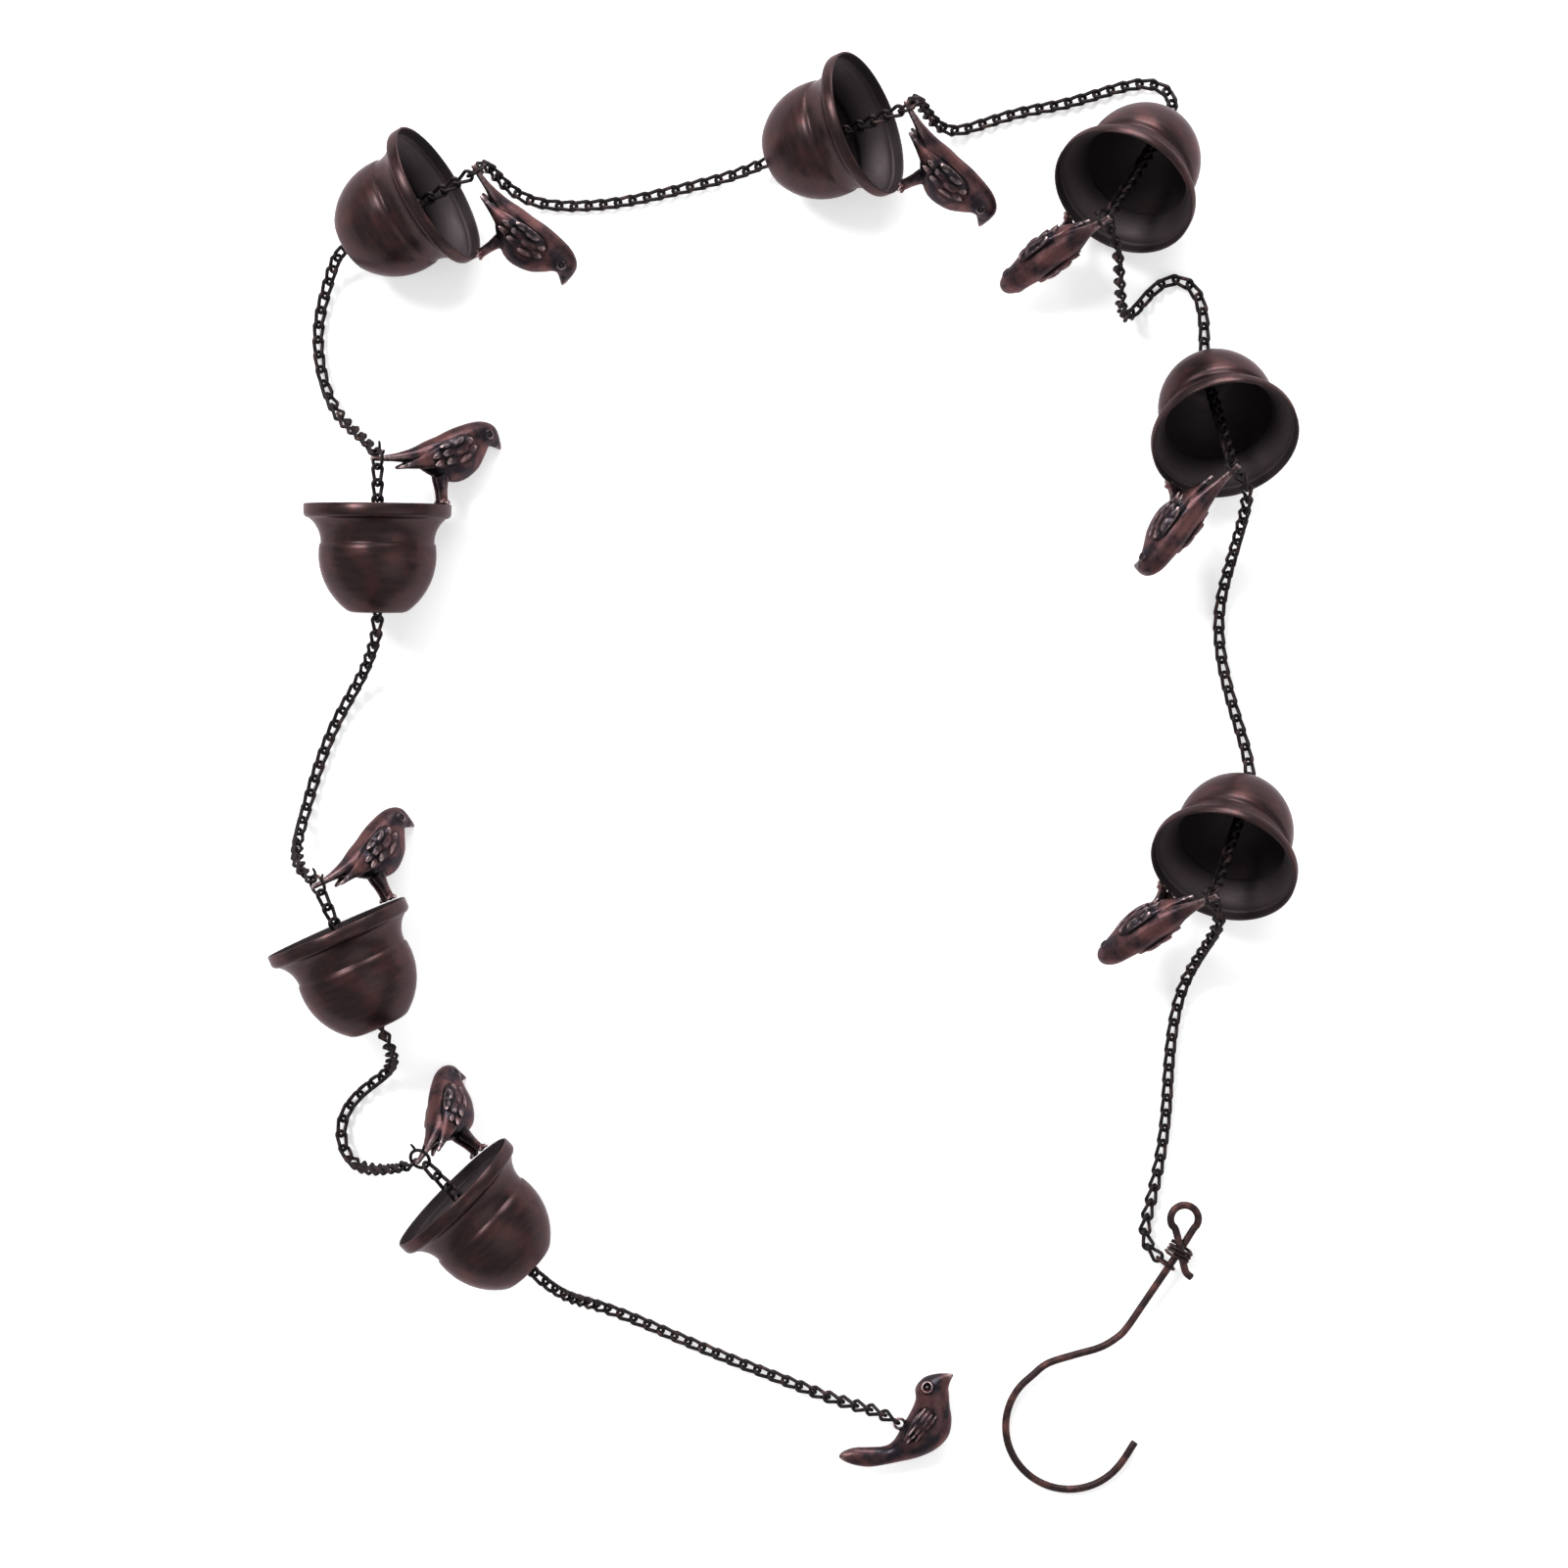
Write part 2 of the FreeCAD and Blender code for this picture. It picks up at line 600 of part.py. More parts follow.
def lay_run(start, end, route):
    """Links from one anchor to the next along a smooth curve: a list of placements."""
    pitch = size("link_pitch")
    poles = [start.centre + start.pull * lead for lead in (0, 1.6 * pitch)] + route
    poles += [end.centre + end.pull * lead for lead in (1.7 * pitch, 0.9 * pitch, 0)]
    curve = Part.BSplineCurve()
    curve.buildFromPoles(poles)
    samples = curve.toShape().discretize(Number=1200)
    lengths = [0.0]
    for first, last in zip(samples, samples[1:]):
        lengths.append(lengths[-1] + (last - first).Length)

    def on_route(distance):
        """Point of the route at a distance from its start."""
        index = next((n for n, length in enumerate(lengths) if length >= distance), len(lengths) - 1)
        index = max(index, 1)
        share = (distance - lengths[index - 1]) / (lengths[index] - lengths[index - 1])
        return samples[index - 1] + (samples[index] - samples[index - 1]) * share

    crowns = link_crowns()
    span = lengths[-1] - start.seat - end.seat
    count = 1 + max(1, round((span - crowns) / size("laid_pitch")))
    stride = (span - crowns) / (count - 1)
    first_joint = start.seat + (crowns - stride) / 2
    joints = [on_route(first_joint + stride * number) for number in range(count + 1)]
    ways = [(after - before).normalize() for before, after in zip(joints, joints[1:])]

    def carried(flat, way):
        """Upright of a link, taken over from the link beside it."""
        return (flat - way * flat.dot(way)).normalize()

    middle = count // 2
    flats = [carried(Vector(0, 0, 1), ways[middle])]
    for way in ways[middle + 1:]:
        flats.append(carried(flats[-1], way))
    for way in reversed(ways[:middle]):
        flats.insert(0, carried(flats[0], way))

    def roll_to(number, axis, twist):
        """Roll that turns a link's end bend into the plane of its ring's axis."""
        flat = flats[number]
        side = flat.cross(ways[number])
        angle = math.degrees(math.atan2(axis.dot(flat), axis.dot(side))) + twist
        return (angle + 90) % 180 - 90

    roll_first = roll_to(0, start.axis, size("link_twist"))
    roll_last = roll_to(-1, end.axis, -size("link_twist"))
    fade = 8
    places = []
    for number, (way, flat) in enumerate(zip(ways, flats)):
        roll = roll_first * max(0, 1 - number / fade)
        roll += roll_last * max(0, 1 - (count - 1 - number) / fade)
        turn = Rotation(way, flat.cross(way), flat, "XYZ") * Rotation(Vector(1, 0, 0), roll)
        places.append(Placement((joints[number] + joints[number + 1]) * 0.5, turn))
    return places


def add_ring(label, anchor):
    """A small wire ring."""
    ring = doc.addObject("Part::Torus", label)
    ring.Label = label
    bind(ring, Radius1="sizes.ring_radius", Radius2="sizes.ring_wire / 2")
    ring.Placement = Placement(anchor.centre, Rotation(Vector(0, 0, 1), anchor.axis))
    sub_parts.append(ring)


def rest_on_floor(shape, place):
    """Set a placement so that the shape's lowest point is on the floor."""
    turned = shape.copy()
    turned.Placement = place
    place.Base = place.Base - Vector(0, 0, lowest(turned))


cup = make_cup()
bird = make_bird()
end_bird = make_end_bird()
link = make_link()

# Cups and birds where they lie, with the ring round each tail
unit = Part.makeCompound([cup.Shape, bird.Shape])
cup_places = {}
rings_above = {}
rings_below = {}
for number, lay in CUPS.items():
    place = cup_placement(lay)
    rest_on_floor(unit, place)
    cup_places[number] = place
    pull = math.radians(lay["pull"])
    centre = place.multVec(Vector(0, 0, size("perch_height")))
    axis = place.Rotation.multVec(Vector(1, 0, 0))
    upward = place.Rotation.multVec(Vector(0, math.sin(pull), math.cos(pull)))
    inward = place.Rotation.multVec(Vector(0, 0, -1))
    rings_above[number] = Anchor(centre, axis, upward, size("ring_radius"), size("ring_wire"))
    rings_below[number] = Anchor(centre, axis, inward, size("ring_radius"), size("ring_wire"))
    add_copy(f"cup_{number}", cup, place)
    add_copy(f"bird_{number}", bird, place)
    add_ring(f"tail_ring_{number}", rings_above[number])

# End bird on its side
end_place = Placement(END_TAIL_TIP, Rotation(Vector(0, 0, 1), END_HEADING) * Rotation(Vector(1, 0, 0), -90))
rest_on_floor(end_bird.Shape, end_place)
eyelet = Anchor(end_place.multVec(END_EYELET), Vector(0, 0, 1), END_PULL.normalize(),
                size("eyelet_radius"), size("eyelet_wire"))
add_copy("end_bird", end_bird, end_place)

# Hook, its binding and its ring
hook_shape = make_hook()
hook_place = hook_placement()
rest_on_floor(hook_shape, hook_place)
hook_ring = hook_anchor(hook_place)
add_shape("hook", hook_shape, hook_place)
add_shape("hook_binding", make_binding(), hook_place)
add_ring("hook_ring", hook_ring)

# Chain: each run hangs between two rings, and all but the first come out of a cup's drain
def run_route(number):
    """Points of a run's curve from the drain, or from the hook's ring, to the next ring."""
    level = size("link_width") / 2 + size("floor_gap")
    route = [Vector(x, y, level + sum(height)) for x, y, *height in ROUTES[number]]
    if number == 1:
        return route
    place = cup_places[number - 1]
    outlet = [place.multVec(Vector(0, 0, -size("cup_height") - reach)) for reach in (0, size("link_pitch"))]
    return outlet + route


run_starts = [hook_ring] + [rings_below[number] for number in CUPS]
run_ends = [rings_above[number] for number in CUPS] + [eyelet]
runs = {}
for number, (start, end) in enumerate(zip(run_starts, run_ends), start=1):
    runs[number] = lay_run(start, end, run_route(number))
    links = []
    for place in runs[number]:
        copy = link.Shape.copy()
        copy.Placement = place
        links.append(copy)
    add_shape(f"chain_{number}", Part.makeCompound(links))
doc.recompute()

# The origin goes under the middle of the laid outline, on the floor
outline = FreeCAD.BoundBox()
for node in sub_parts:
    outline.add(node.Shape.optimalBoundingBox(False, False))
shift = Vector(-outline.Center.x, -outline.Center.y, -outline.ZMin)
for node in sub_parts:
    node.Placement.Base = node.Placement.Base + shift
doc.recompute()

for item in doc.Objects:
    if "Invalid" in item.State or "Error" in item.State:
        raise RuntimeError(f"{item.Label} failed to build")
for node in sub_parts:
    if node.Shape.isNull() or not node.Shape.isValid() or not node.Shape.Solids:
        raise RuntimeError(f"{node.Label} has no valid solid")

os.makedirs("parts", exist_ok=True)
for node in sub_parts:
    node.Shape.exportStep(f"parts/{node.Label}.step")

print("laid outline", [round(value, 1) for value in (outline.XLength, outline.YLength, outline.ZLength)])
for number, places in runs.items():
    print("run", number, len(places), "links")
for number, place in cup_places.items():
    mouth = place.Rotation.multVec(Vector(0, 0, 1))
    centre = place.Base + shift
    print("cup", number, "mouth", [round(v, 3) for v in centre], "axis", [round(v, 5) for v in mouth])
print("eyelet", [round(v, 3) for v in eyelet.centre + shift])
print("hook bend", [round(v, 3) for v in hook_place.multVec(HOOK_BEND_CENTRE) + shift])
print("hook eye", [round(v, 3) for v in hook_place.multVec(HOOK_EYE_CENTRE) + shift])
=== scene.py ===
# %% [markdown]
# A rain chain hangs from a gutter in place of a downpipe: water runs down the chain from cup to
# cup. Here it lies on a table in a loop, seen from straight above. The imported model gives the
# frame; this lesson dresses it with cups, links, cast birds and an old bronze finish.

# %% Load the frame
import json
import math

import bmesh
import bpy
import numpy as np
from mathutils import Matrix, Vector


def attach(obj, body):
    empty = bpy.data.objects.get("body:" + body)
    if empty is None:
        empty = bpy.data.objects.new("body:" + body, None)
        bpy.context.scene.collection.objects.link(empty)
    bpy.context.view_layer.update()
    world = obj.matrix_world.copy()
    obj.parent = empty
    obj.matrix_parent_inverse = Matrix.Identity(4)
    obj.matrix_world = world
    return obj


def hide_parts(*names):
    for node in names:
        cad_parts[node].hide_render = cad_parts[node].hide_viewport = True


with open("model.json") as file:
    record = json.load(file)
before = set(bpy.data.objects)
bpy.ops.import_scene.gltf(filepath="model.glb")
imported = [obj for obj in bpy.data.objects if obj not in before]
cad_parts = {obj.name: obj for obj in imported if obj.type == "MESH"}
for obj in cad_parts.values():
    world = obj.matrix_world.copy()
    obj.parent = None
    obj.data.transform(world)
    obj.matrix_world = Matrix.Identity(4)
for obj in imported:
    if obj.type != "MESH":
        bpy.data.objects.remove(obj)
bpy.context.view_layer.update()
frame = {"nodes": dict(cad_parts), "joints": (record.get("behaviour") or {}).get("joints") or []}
MM = 0.001
CUP_NUMBERS = range(1, 9)
RUN_NUMBERS = range(1, 10)
print("pieces in the frame:", len(frame["nodes"]))

# %% [markdown]
# The photograph looks straight down from about 1.7 m. A camera at that height, with a view angle
# that shows 0.9 m of floor, gives the same slight spread of what stands up from the floor.

# %% Camera
VIEW_HEIGHT = 1.7
VIEW_WIDTH = 0.8966
VIEW_MIDDLE = Vector((0.0001, -0.0015, 0.0))

camera_data = bpy.data.cameras.new("overhead")
camera_data.sensor_width = 36.0
camera_data.sensor_height = 36.0
camera_data.sensor_fit = "HORIZONTAL"
camera_data.lens = camera_data.sensor_width * VIEW_HEIGHT / VIEW_WIDTH
camera = bpy.data.objects.new("overhead", camera_data)
camera.location = VIEW_MIDDLE + Vector((0, 0, VIEW_HEIGHT))
bpy.context.scene.collection.objects.link(camera)
bpy.context.scene.camera = camera
print("lens", round(camera_data.lens, 1), "mm")

# %% [markdown]
# The floor is a plain white sheet with a painted glow: it gives off light though it is no lamp, so
# shadows stay faint.
# One wide soft lamp stands off to the upper left, so what shadow there is falls to the lower right.
# A low lamp beyond the top edge puts a soft shine on necks and rims. A weak lamp at the lower right
# and a white surround fill in.

# %% Floor and light
FLOOR_HALF = 6.0
floor_mesh = bpy.data.meshes.new("floor")
floor_corners = [(x * FLOOR_HALF, y * FLOOR_HALF, 0) for x, y in ((-1, -1), (1, -1), (1, 1), (-1, 1))]
floor_mesh.from_pydata(floor_corners, [], [(0, 1, 2, 3)])
floor = bpy.data.objects.new("floor", floor_mesh)
bpy.context.scene.collection.objects.link(floor)
floor_paint = bpy.data.materials.new("white_sheet")
floor_paint.use_nodes = True
floor_shader = floor_paint.node_tree.nodes["Principled BSDF"]
floor_shader.inputs["Base Color"].default_value = (0.9, 0.9, 0.9, 1)
floor_shader.inputs["Roughness"].default_value = 0.9
# Painted glow: the sheet emits light of its own though it is no lamp, which fades the shadows on it.
floor_shader.inputs["Emission Color"].default_value = (1, 1, 1, 1)
floor_shader.inputs["Emission Strength"].default_value = 0.42
floor_mesh.materials.append(floor_paint)


def soft_lamp(name, place, size, power):
    """A square lamp that looks at the middle of the floor."""
    data = bpy.data.lights.new(name, "AREA")
    data.size = size
    data.energy = power
    lamp = bpy.data.objects.new(name, data)
    lamp.location = place
    lamp.rotation_euler = Vector(place).to_track_quat("Z", "Y").to_euler()
    bpy.context.scene.collection.objects.link(lamp)


soft_lamp("window", (-1.5, 1.4, 2.4), 0.9, 62)
soft_lamp("top", (0.3, 2.5, 1.0), 1.3, 58)
soft_lamp("fill", (1.6, -0.8, 2.2), 2.2, 12)
world = bpy.data.worlds.new("surround")
world.use_nodes = True
world.node_tree.nodes["Background"].inputs["Color"].default_value = (1, 1, 1, 1)
world.node_tree.nodes["Background"].inputs["Strength"].default_value = 0.52
bpy.context.scene.world = world
bpy.context.scene.view_settings.view_transform = "Standard"
print("lamps", [lamp.name for lamp in bpy.data.lights])

# %% [markdown]
# Every finish here is the same old bronze: a dark brown-black ground, reddish streaks where the
# brown was brushed on, and worn high spots. Its shine is tinted at glancing angles, which keeps the
# outlines dark. The helpers below build node trees in few lines, for finishes and Geometry Nodes.


# %% Node helpers
def add_node(tree, kind, settings=None, **inputs):
    """A node with its settings, whose named inputs are values or sockets."""
    node = tree.nodes.new(kind)
    for name, value in (settings or {}).items():
        setattr(node, name, value)
    for name, value in inputs.items():
        numbered = name[0] == "i" and name[1:].isdigit()
        socket = node.inputs[int(name[1:]) if numbered else name.replace("_", " ")]
        if isinstance(value, bpy.types.NodeSocket):
            tree.links.new(value, socket)
        else:
            socket.default_value = value
    return node


def blend_colours(tree, share, first, second):
    """Colour between two colours or colour sockets."""
    mix = tree.nodes.new("ShaderNodeMix")
    mix.data_type = "RGBA"
    for socket, value in ((mix.inputs[0], share), (mix.inputs[6], first), (mix.inputs[7], second)):
        if isinstance(value, bpy.types.NodeSocket):
            tree.links.new(value, socket)
        elif isinstance(value, (int, float)):
            socket.default_value = value
        else:
            socket.default_value = (*value, 1)
    return mix.outputs[2]


def sums(tree, operation, first, second=0.0):
    """One step of arithmetic in a tree."""
    return add_node(tree, "ShaderNodeMath", {"operation": operation}, i0=first, i1=second).outputs[0]


def between(tree, value, low, high, to_low=0.0, to_high=1.0):
    """A value from one range mapped to another."""
    node = add_node(tree, "ShaderNodeMapRange", i0=value, i1=low, i2=high, i3=to_low, i4=to_high)
    return node.outputs[0]


def grain(tree, place, scale, detail=4.0, roughness=0.55):
    """Noise at a place."""
    node = add_node(tree, "ShaderNodeTexNoise", Vector=place, Scale=scale, Detail=detail,
                    Roughness=roughness)
    return node.outputs[0]


EDGE = (0.66, 0.58, 0.6)


def new_finish(name, metallic):
    """An empty metal finish and its tree."""
    finish = bpy.data.materials.new(name)
    finish.use_nodes = True
    shader = finish.node_tree.nodes["Principled BSDF"]
    shader.inputs["Metallic"].default_value = metallic
    shader.inputs["Specular Tint"].default_value = (*EDGE, 1)
    return finish, finish.node_tree, shader


def raise_grain(tree, shader, height, strength, distance):
    """Bump from a height."""
    bump = add_node(tree, "ShaderNodeBump", Strength=strength, Distance=distance, Height=height)
    tree.links.new(bump.outputs[0], shader.inputs["Normal"])


print("helpers ready")

# %% [markdown]
# The cups are spun from sheet, so brush marks run round them. The finish reads the cup's own
# place, which the cup carries as an attribute: stretched noise round the axis makes the streaks,
# and the inside is darker, with red patches where the brown is thin.

# %% Cup finish
GROUND = (0.029, 0.0195, 0.0205)
BROWN = (0.054, 0.0305, 0.031)
RED = (0.098, 0.035, 0.034)
SILVER = (0.46, 0.34, 0.34)
INNER_GROUND = (0.062, 0.05, 0.055)
INNER_RED = (0.1, 0.04, 0.038)
STREAK_SQUEEZE = 170.0
INNER_DULLNESS = 0.3

cup_finish, tree, shader = new_finish("brushed_bronze", 0.85)
place = add_node(tree, "ShaderNodeAttribute", {"attribute_name": "cup_place"}).outputs["Vector"]
inside = add_node(tree, "ShaderNodeAttribute", {"attribute_name": "inside"}).outputs["Fac"]
parts = add_node(tree, "ShaderNodeSeparateXYZ", Vector=place)
angle = sums(tree, "ARCTAN2", parts.outputs[1], parts.outputs[0])
turn_x = sums(tree, "COSINE", angle)
turn_y = sums(tree, "SINE", angle)
rise = sums(tree, "MULTIPLY", parts.outputs[2], STREAK_SQUEEZE)
round_place = add_node(tree, "ShaderNodeCombineXYZ", i0=turn_x, i1=turn_y, i2=rise).outputs[0]
streaks = grain(tree, round_place, 2.2, 7.0, 0.66)
fine = grain(tree, round_place, 6.0, 3.0, 0.5)
blotches = grain(tree, place, 46.0, 6.0, 0.65)
brown_share = between(tree, streaks, 0.3, 0.72)
red_share = between(tree, blotches, 0.5, 0.78)
outer = blend_colours(tree, brown_share, GROUND, BROWN)
outer = blend_colours(tree, red_share, outer, RED)
inner_red = between(tree, blotches, 0.55, 0.8, 0.0, 0.6)
inner = blend_colours(tree, inner_red, INNER_GROUND, INNER_RED)
tree.links.new(blend_colours(tree, inside, outer, inner), shader.inputs["Base Color"])
streak_rough = between(tree, streaks, 0.3, 0.7, 0.27, 0.4)
rough = sums(tree, "ADD", streak_rough, sums(tree, "MULTIPLY", inside, INNER_DULLNESS))
tree.links.new(rough, shader.inputs["Roughness"])
raise_grain(tree, shader, fine, 0.1, 0.0004)
print("finish", cup_finish.name)

# %% [markdown]
# Cast birds keep the ground colour on their open surfaces, the hollows of their feathers get a
# painted shade near black, and the high tips are worn to a pinkish silver. Each bird carries how far
# a point stands out from its surroundings, and the finish picks its colour from that.

# %% Bird finish
bird_finish, tree, shader = new_finish("worn_and_shaded_casting", 0.85)
place = add_node(tree, "ShaderNodeAttribute", {"attribute_name": "bird_place"}).outputs["Vector"]
stands_out = add_node(tree, "ShaderNodeAttribute", {"attribute_name": "stands_out"}).outputs["Fac"]
blotches = grain(tree, place, 70.0, 5.0, 0.6)
speck = grain(tree, place, 420.0, 3.0, 0.6)
BIRD_GROUND = (0.024, 0.02, 0.0255)
BIRD_BROWN = (0.125, 0.056, 0.055)
# Painted shade: hollows that lie behind the smoothed skin are darkened to near black, darker than the
# ground colour.
HOLLOW_PAINTED_SHADE = (0.004, 0.0035, 0.004)
skin = blend_colours(tree, between(tree, blotches, 0.42, 0.62), BIRD_GROUND, BIRD_BROWN)
hollow_shade_share = between(tree, stands_out, 0.0, -0.4)
skin = blend_colours(tree, hollow_shade_share, skin, HOLLOW_PAINTED_SHADE)
worn = sums(tree, "MULTIPLY", between(tree, stands_out, 0.45, 1.25), between(tree, speck, 0.35, 0.6))
tree.links.new(blend_colours(tree, worn, skin, SILVER), shader.inputs["Base Color"])
tree.links.new(between(tree, blotches, 0.3, 0.7, 0.28, 0.44), shader.inputs["Roughness"])
raise_grain(tree, shader, speck, 0.25, 0.0003)
print("finish", bird_finish.name)

# %% [markdown]
# Wire and links are almost black. A little worn copper shows where links rub, so the finish mixes
# small patches of it in, on the object's own coordinates.


# %% Wire and chain finishes
def wire_finish(name, ground, worn, patch_scale, low, high):
    """Dark wire with worn patches."""
    finish, tree, shader = new_finish(name, 0.7)
    place = tree.nodes.new("ShaderNodeTexCoord").outputs["Object"]
    patches = grain(tree, place, patch_scale, 5.0, 0.6)
    speck = grain(tree, place, 900.0, 2.0, 0.5)
    colour = blend_colours(tree, between(tree, patches, low, high), ground, worn)
    tree.links.new(colour, shader.inputs["Base Color"])
    tree.links.new(between(tree, patches, 0.3, 0.7, 0.4, 0.55), shader.inputs["Roughness"])
    raise_grain(tree, shader, speck, 0.2, 0.0002)
    return finish


chain_finish = wire_finish("dark_links", (0.017, 0.014, 0.0155), (0.1, 0.055, 0.053), 160.0, 0.54, 0.74)
hook_finish = wire_finish("dark_wire", (0.03, 0.019, 0.0195), (0.15, 0.065, 0.06), 110.0, 0.46, 0.7)
for name in ["hook_binding", "hook_ring"] + [f"tail_ring_{number}" for number in CUP_NUMBERS]:
    node = frame["nodes"][name]
    node.data.materials.clear()
    node.data.materials.append(hook_finish if name.startswith("hook") else chain_finish)
print("finishes", chain_finish.name, hook_finish.name)

# %% [markdown]
# A cup follows one rule: a wall profile carried once round an axis. Geometry Nodes do this by
# sweeping the closed profile along a circle. The profile is drawn from a few named sizes.

# %% Cup sizes and profile
RIM = 41.0
BAND = 8.0
BAND_CORNER = 3.0
NECK = 31.5
NECK_DROP = 21.0
NECK_CURVE = 17.0
STEP = 0.8
BOWL_CURVE = 39.0
BASE = 12.2
BASE_CORNER = 8.6
BOWL_FOOT = (17.5, -58.95)
HEIGHT = 60.5
WALL = 1.2
DRAIN = 6.0
DRAIN_EDGE = 1.0
LIP = 0.5
LIP_INSIDE = 0.3


def arc_points(start, end, radius, bulge, count):
    """Points of an arc between two points, bulging to one side."""
    start, end, bulge = Vector(start), Vector(end), Vector(bulge)
    chord = end - start
    normal = Vector((-chord.y, chord.x)).normalized()
    if normal.dot(bulge) < 0:
        normal = -normal
    centre = (start + end) / 2 - normal * math.sqrt(radius**2 - (chord.length / 2) ** 2)
    first, last = start - centre, end - centre
    sweep = first.angle_signed(last)
    return [centre + Matrix.Rotation(-sweep * k / count, 2) @ first for k in range(count + 1)]


def cup_outline():
    """The outer wall from the lip to the drain: distance from the axis, height."""
    band_end = (RIM - BAND_CORNER, -BAND)
    points = [Vector((RIM - LIP, 0)), Vector((RIM, -LIP)), Vector((RIM, BAND_CORNER - BAND))]
    points += arc_points((RIM, BAND_CORNER - BAND), band_end, BAND_CORNER, (1, -1), 6)[1:]
    points += arc_points(band_end, (NECK, -NECK_DROP), NECK_CURVE, (-1, 0), 8)[1:]
    points += [Vector((NECK, -NECK_DROP - STEP)), Vector((NECK + STEP, -NECK_DROP - 2 * STEP))]
    points += arc_points((NECK + STEP, -NECK_DROP - 2 * STEP), BOWL_FOOT, BOWL_CURVE, (1, 0), 16)[1:]
    points += arc_points(BOWL_FOOT, (BASE, -HEIGHT), BASE_CORNER, (1, -1), 5)[1:]
    points += [Vector((DRAIN + DRAIN_EDGE, -HEIGHT)), Vector((DRAIN, -HEIGHT))]
    return points


outline = cup_outline()
inner_wall = []
for before, point, after in zip([outline[0]] + outline, outline, outline[1:] + [outline[-1]]):
    along = (after - before).normalized()
    inner_wall.append(point + Vector((along.y, -along.x)) * WALL)
inner_wall[0] = Vector((RIM - WALL, -LIP_INSIDE))
inner_wall[1] = Vector((RIM - WALL, -LIP_INSIDE - LIP))
inner_wall[-1] = Vector((DRAIN, WALL - HEIGHT))
profile_mesh = bpy.data.meshes.new("cup_profile")
ring = outline + inner_wall[::-1]
profile_mesh.from_pydata([((point.x - RIM) * MM, -point.y * MM, 0) for point in ring],
                         [(k, (k + 1) % len(ring)) for k in range(len(ring))], [])
inside_flag = profile_mesh.attributes.new("inside", "FLOAT", "POINT")
inside_flag.data.foreach_set("value", [0.0] * len(outline) + [1.0] * len(inner_wall))
print("profile points", len(ring))


# %% [markdown]
# The tree: the profile becomes a curve, a circle is the path, and Curve to Mesh sweeps one along the
# other. The number of facets is an input, so a smoother or a lighter cup is one value away.


# %% Cup node tree
def new_tree(name, inputs):
    """An empty Geometry Nodes tree with named number inputs, and its group nodes."""
    tree = bpy.data.node_groups.new(name, "GeometryNodeTree")
    tree.interface.new_socket("Geometry", in_out="INPUT", socket_type="NodeSocketGeometry")
    for title, value in inputs.items():
        kind = "NodeSocketInt" if isinstance(value, int) else "NodeSocketFloat"
        tree.interface.new_socket(title, in_out="INPUT", socket_type=kind).default_value = value
    tree.interface.new_socket("Geometry", in_out="OUTPUT", socket_type="NodeSocketGeometry")
    return tree, tree.nodes.new("NodeGroupInput").outputs, tree.nodes.new("NodeGroupOutput")


def close_tree(tree, output, geometry, finish):
    """The end of every tree: real geometry with its finish."""
    real = add_node(tree, "GeometryNodeRealizeInstances", i0=geometry).outputs[0]
    painted = add_node(tree, "GeometryNodeSetMaterial", i0=real, Material=finish).outputs[0]
    tree.links.new(painted, output.inputs[0])


def named_rotation(tree, name):
    """A rotation that every point carries under a name, as three angles."""
    angles = add_node(tree, "GeometryNodeInputNamedAttribute", {"data_type": "FLOAT_VECTOR"}, Name=name)
    return add_node(tree, "FunctionNodeEulerToRotation", i0=angles.outputs[0]).outputs[0]


def grown(name, mesh, tree):
    """The plain mesh that a tree makes from a start mesh."""
    holder = bpy.data.objects.new(name, mesh)
    bpy.context.scene.collection.objects.link(holder)
    holder.modifiers.new("tree", "NODES").node_group = tree
    bpy.context.view_layer.update()
    graph = bpy.context.evaluated_depsgraph_get()
    result = bpy.data.meshes.new_from_object(holder.evaluated_get(graph))
    bpy.data.objects.remove(holder)
    return result


tree, given, out = new_tree("spun_cup", {"Rim Radius": RIM * MM, "Facets": 144})
profile = add_node(tree, "GeometryNodeMeshToCurve", i0=given["Geometry"]).outputs[0]
path = add_node(tree, "GeometryNodeCurvePrimitiveCircle", Resolution=given["Facets"],
                Radius=given["Rim Radius"]).outputs[0]
wall = add_node(tree, "GeometryNodeCurveToMesh", i0=path, Profile_Curve=profile).outputs[0]
close_tree(tree, out, wall, cup_finish)
cup_mesh = grown("cup_master", profile_mesh, tree)
skin = bmesh.new()
skin.from_mesh(cup_mesh)
bmesh.ops.recalc_face_normals(skin, faces=skin.faces)
skin.to_mesh(cup_mesh)
skin.free()
corners = np.array([vertex.co for vertex in cup_mesh.vertices])
print("cup spans", corners.min(0).round(4), corners.max(0).round(4))


# %% [markdown]
# Each cup turns on a hinge whose record gives the middle of its mouth and its axis, and the bird
# shows which side of the rim it stands on. Those three make the cup's own frame.


# %% Place the cups
def corners_of(mesh):
    """All corners of a mesh as rows."""
    rows = np.empty(len(mesh.vertices) * 3)
    mesh.vertices.foreach_get("co", rows)
    return rows.reshape(-1, 3)


def mark_place(mesh, name):
    """Keep where each point lies in the piece's own frame, for its finish."""
    rows = corners_of(mesh).ravel()
    mesh.attributes.new(name, "FLOAT_VECTOR", "POINT").data.foreach_set("vector", rows)


def show(name, mesh, body, node=None):
    """A finished piece that rides a body, in the place of a node if one is named."""
    piece = bpy.data.objects.new(name, mesh)
    bpy.context.scene.collection.objects.link(piece)
    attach(piece, body)
    if node:
        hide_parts(node)


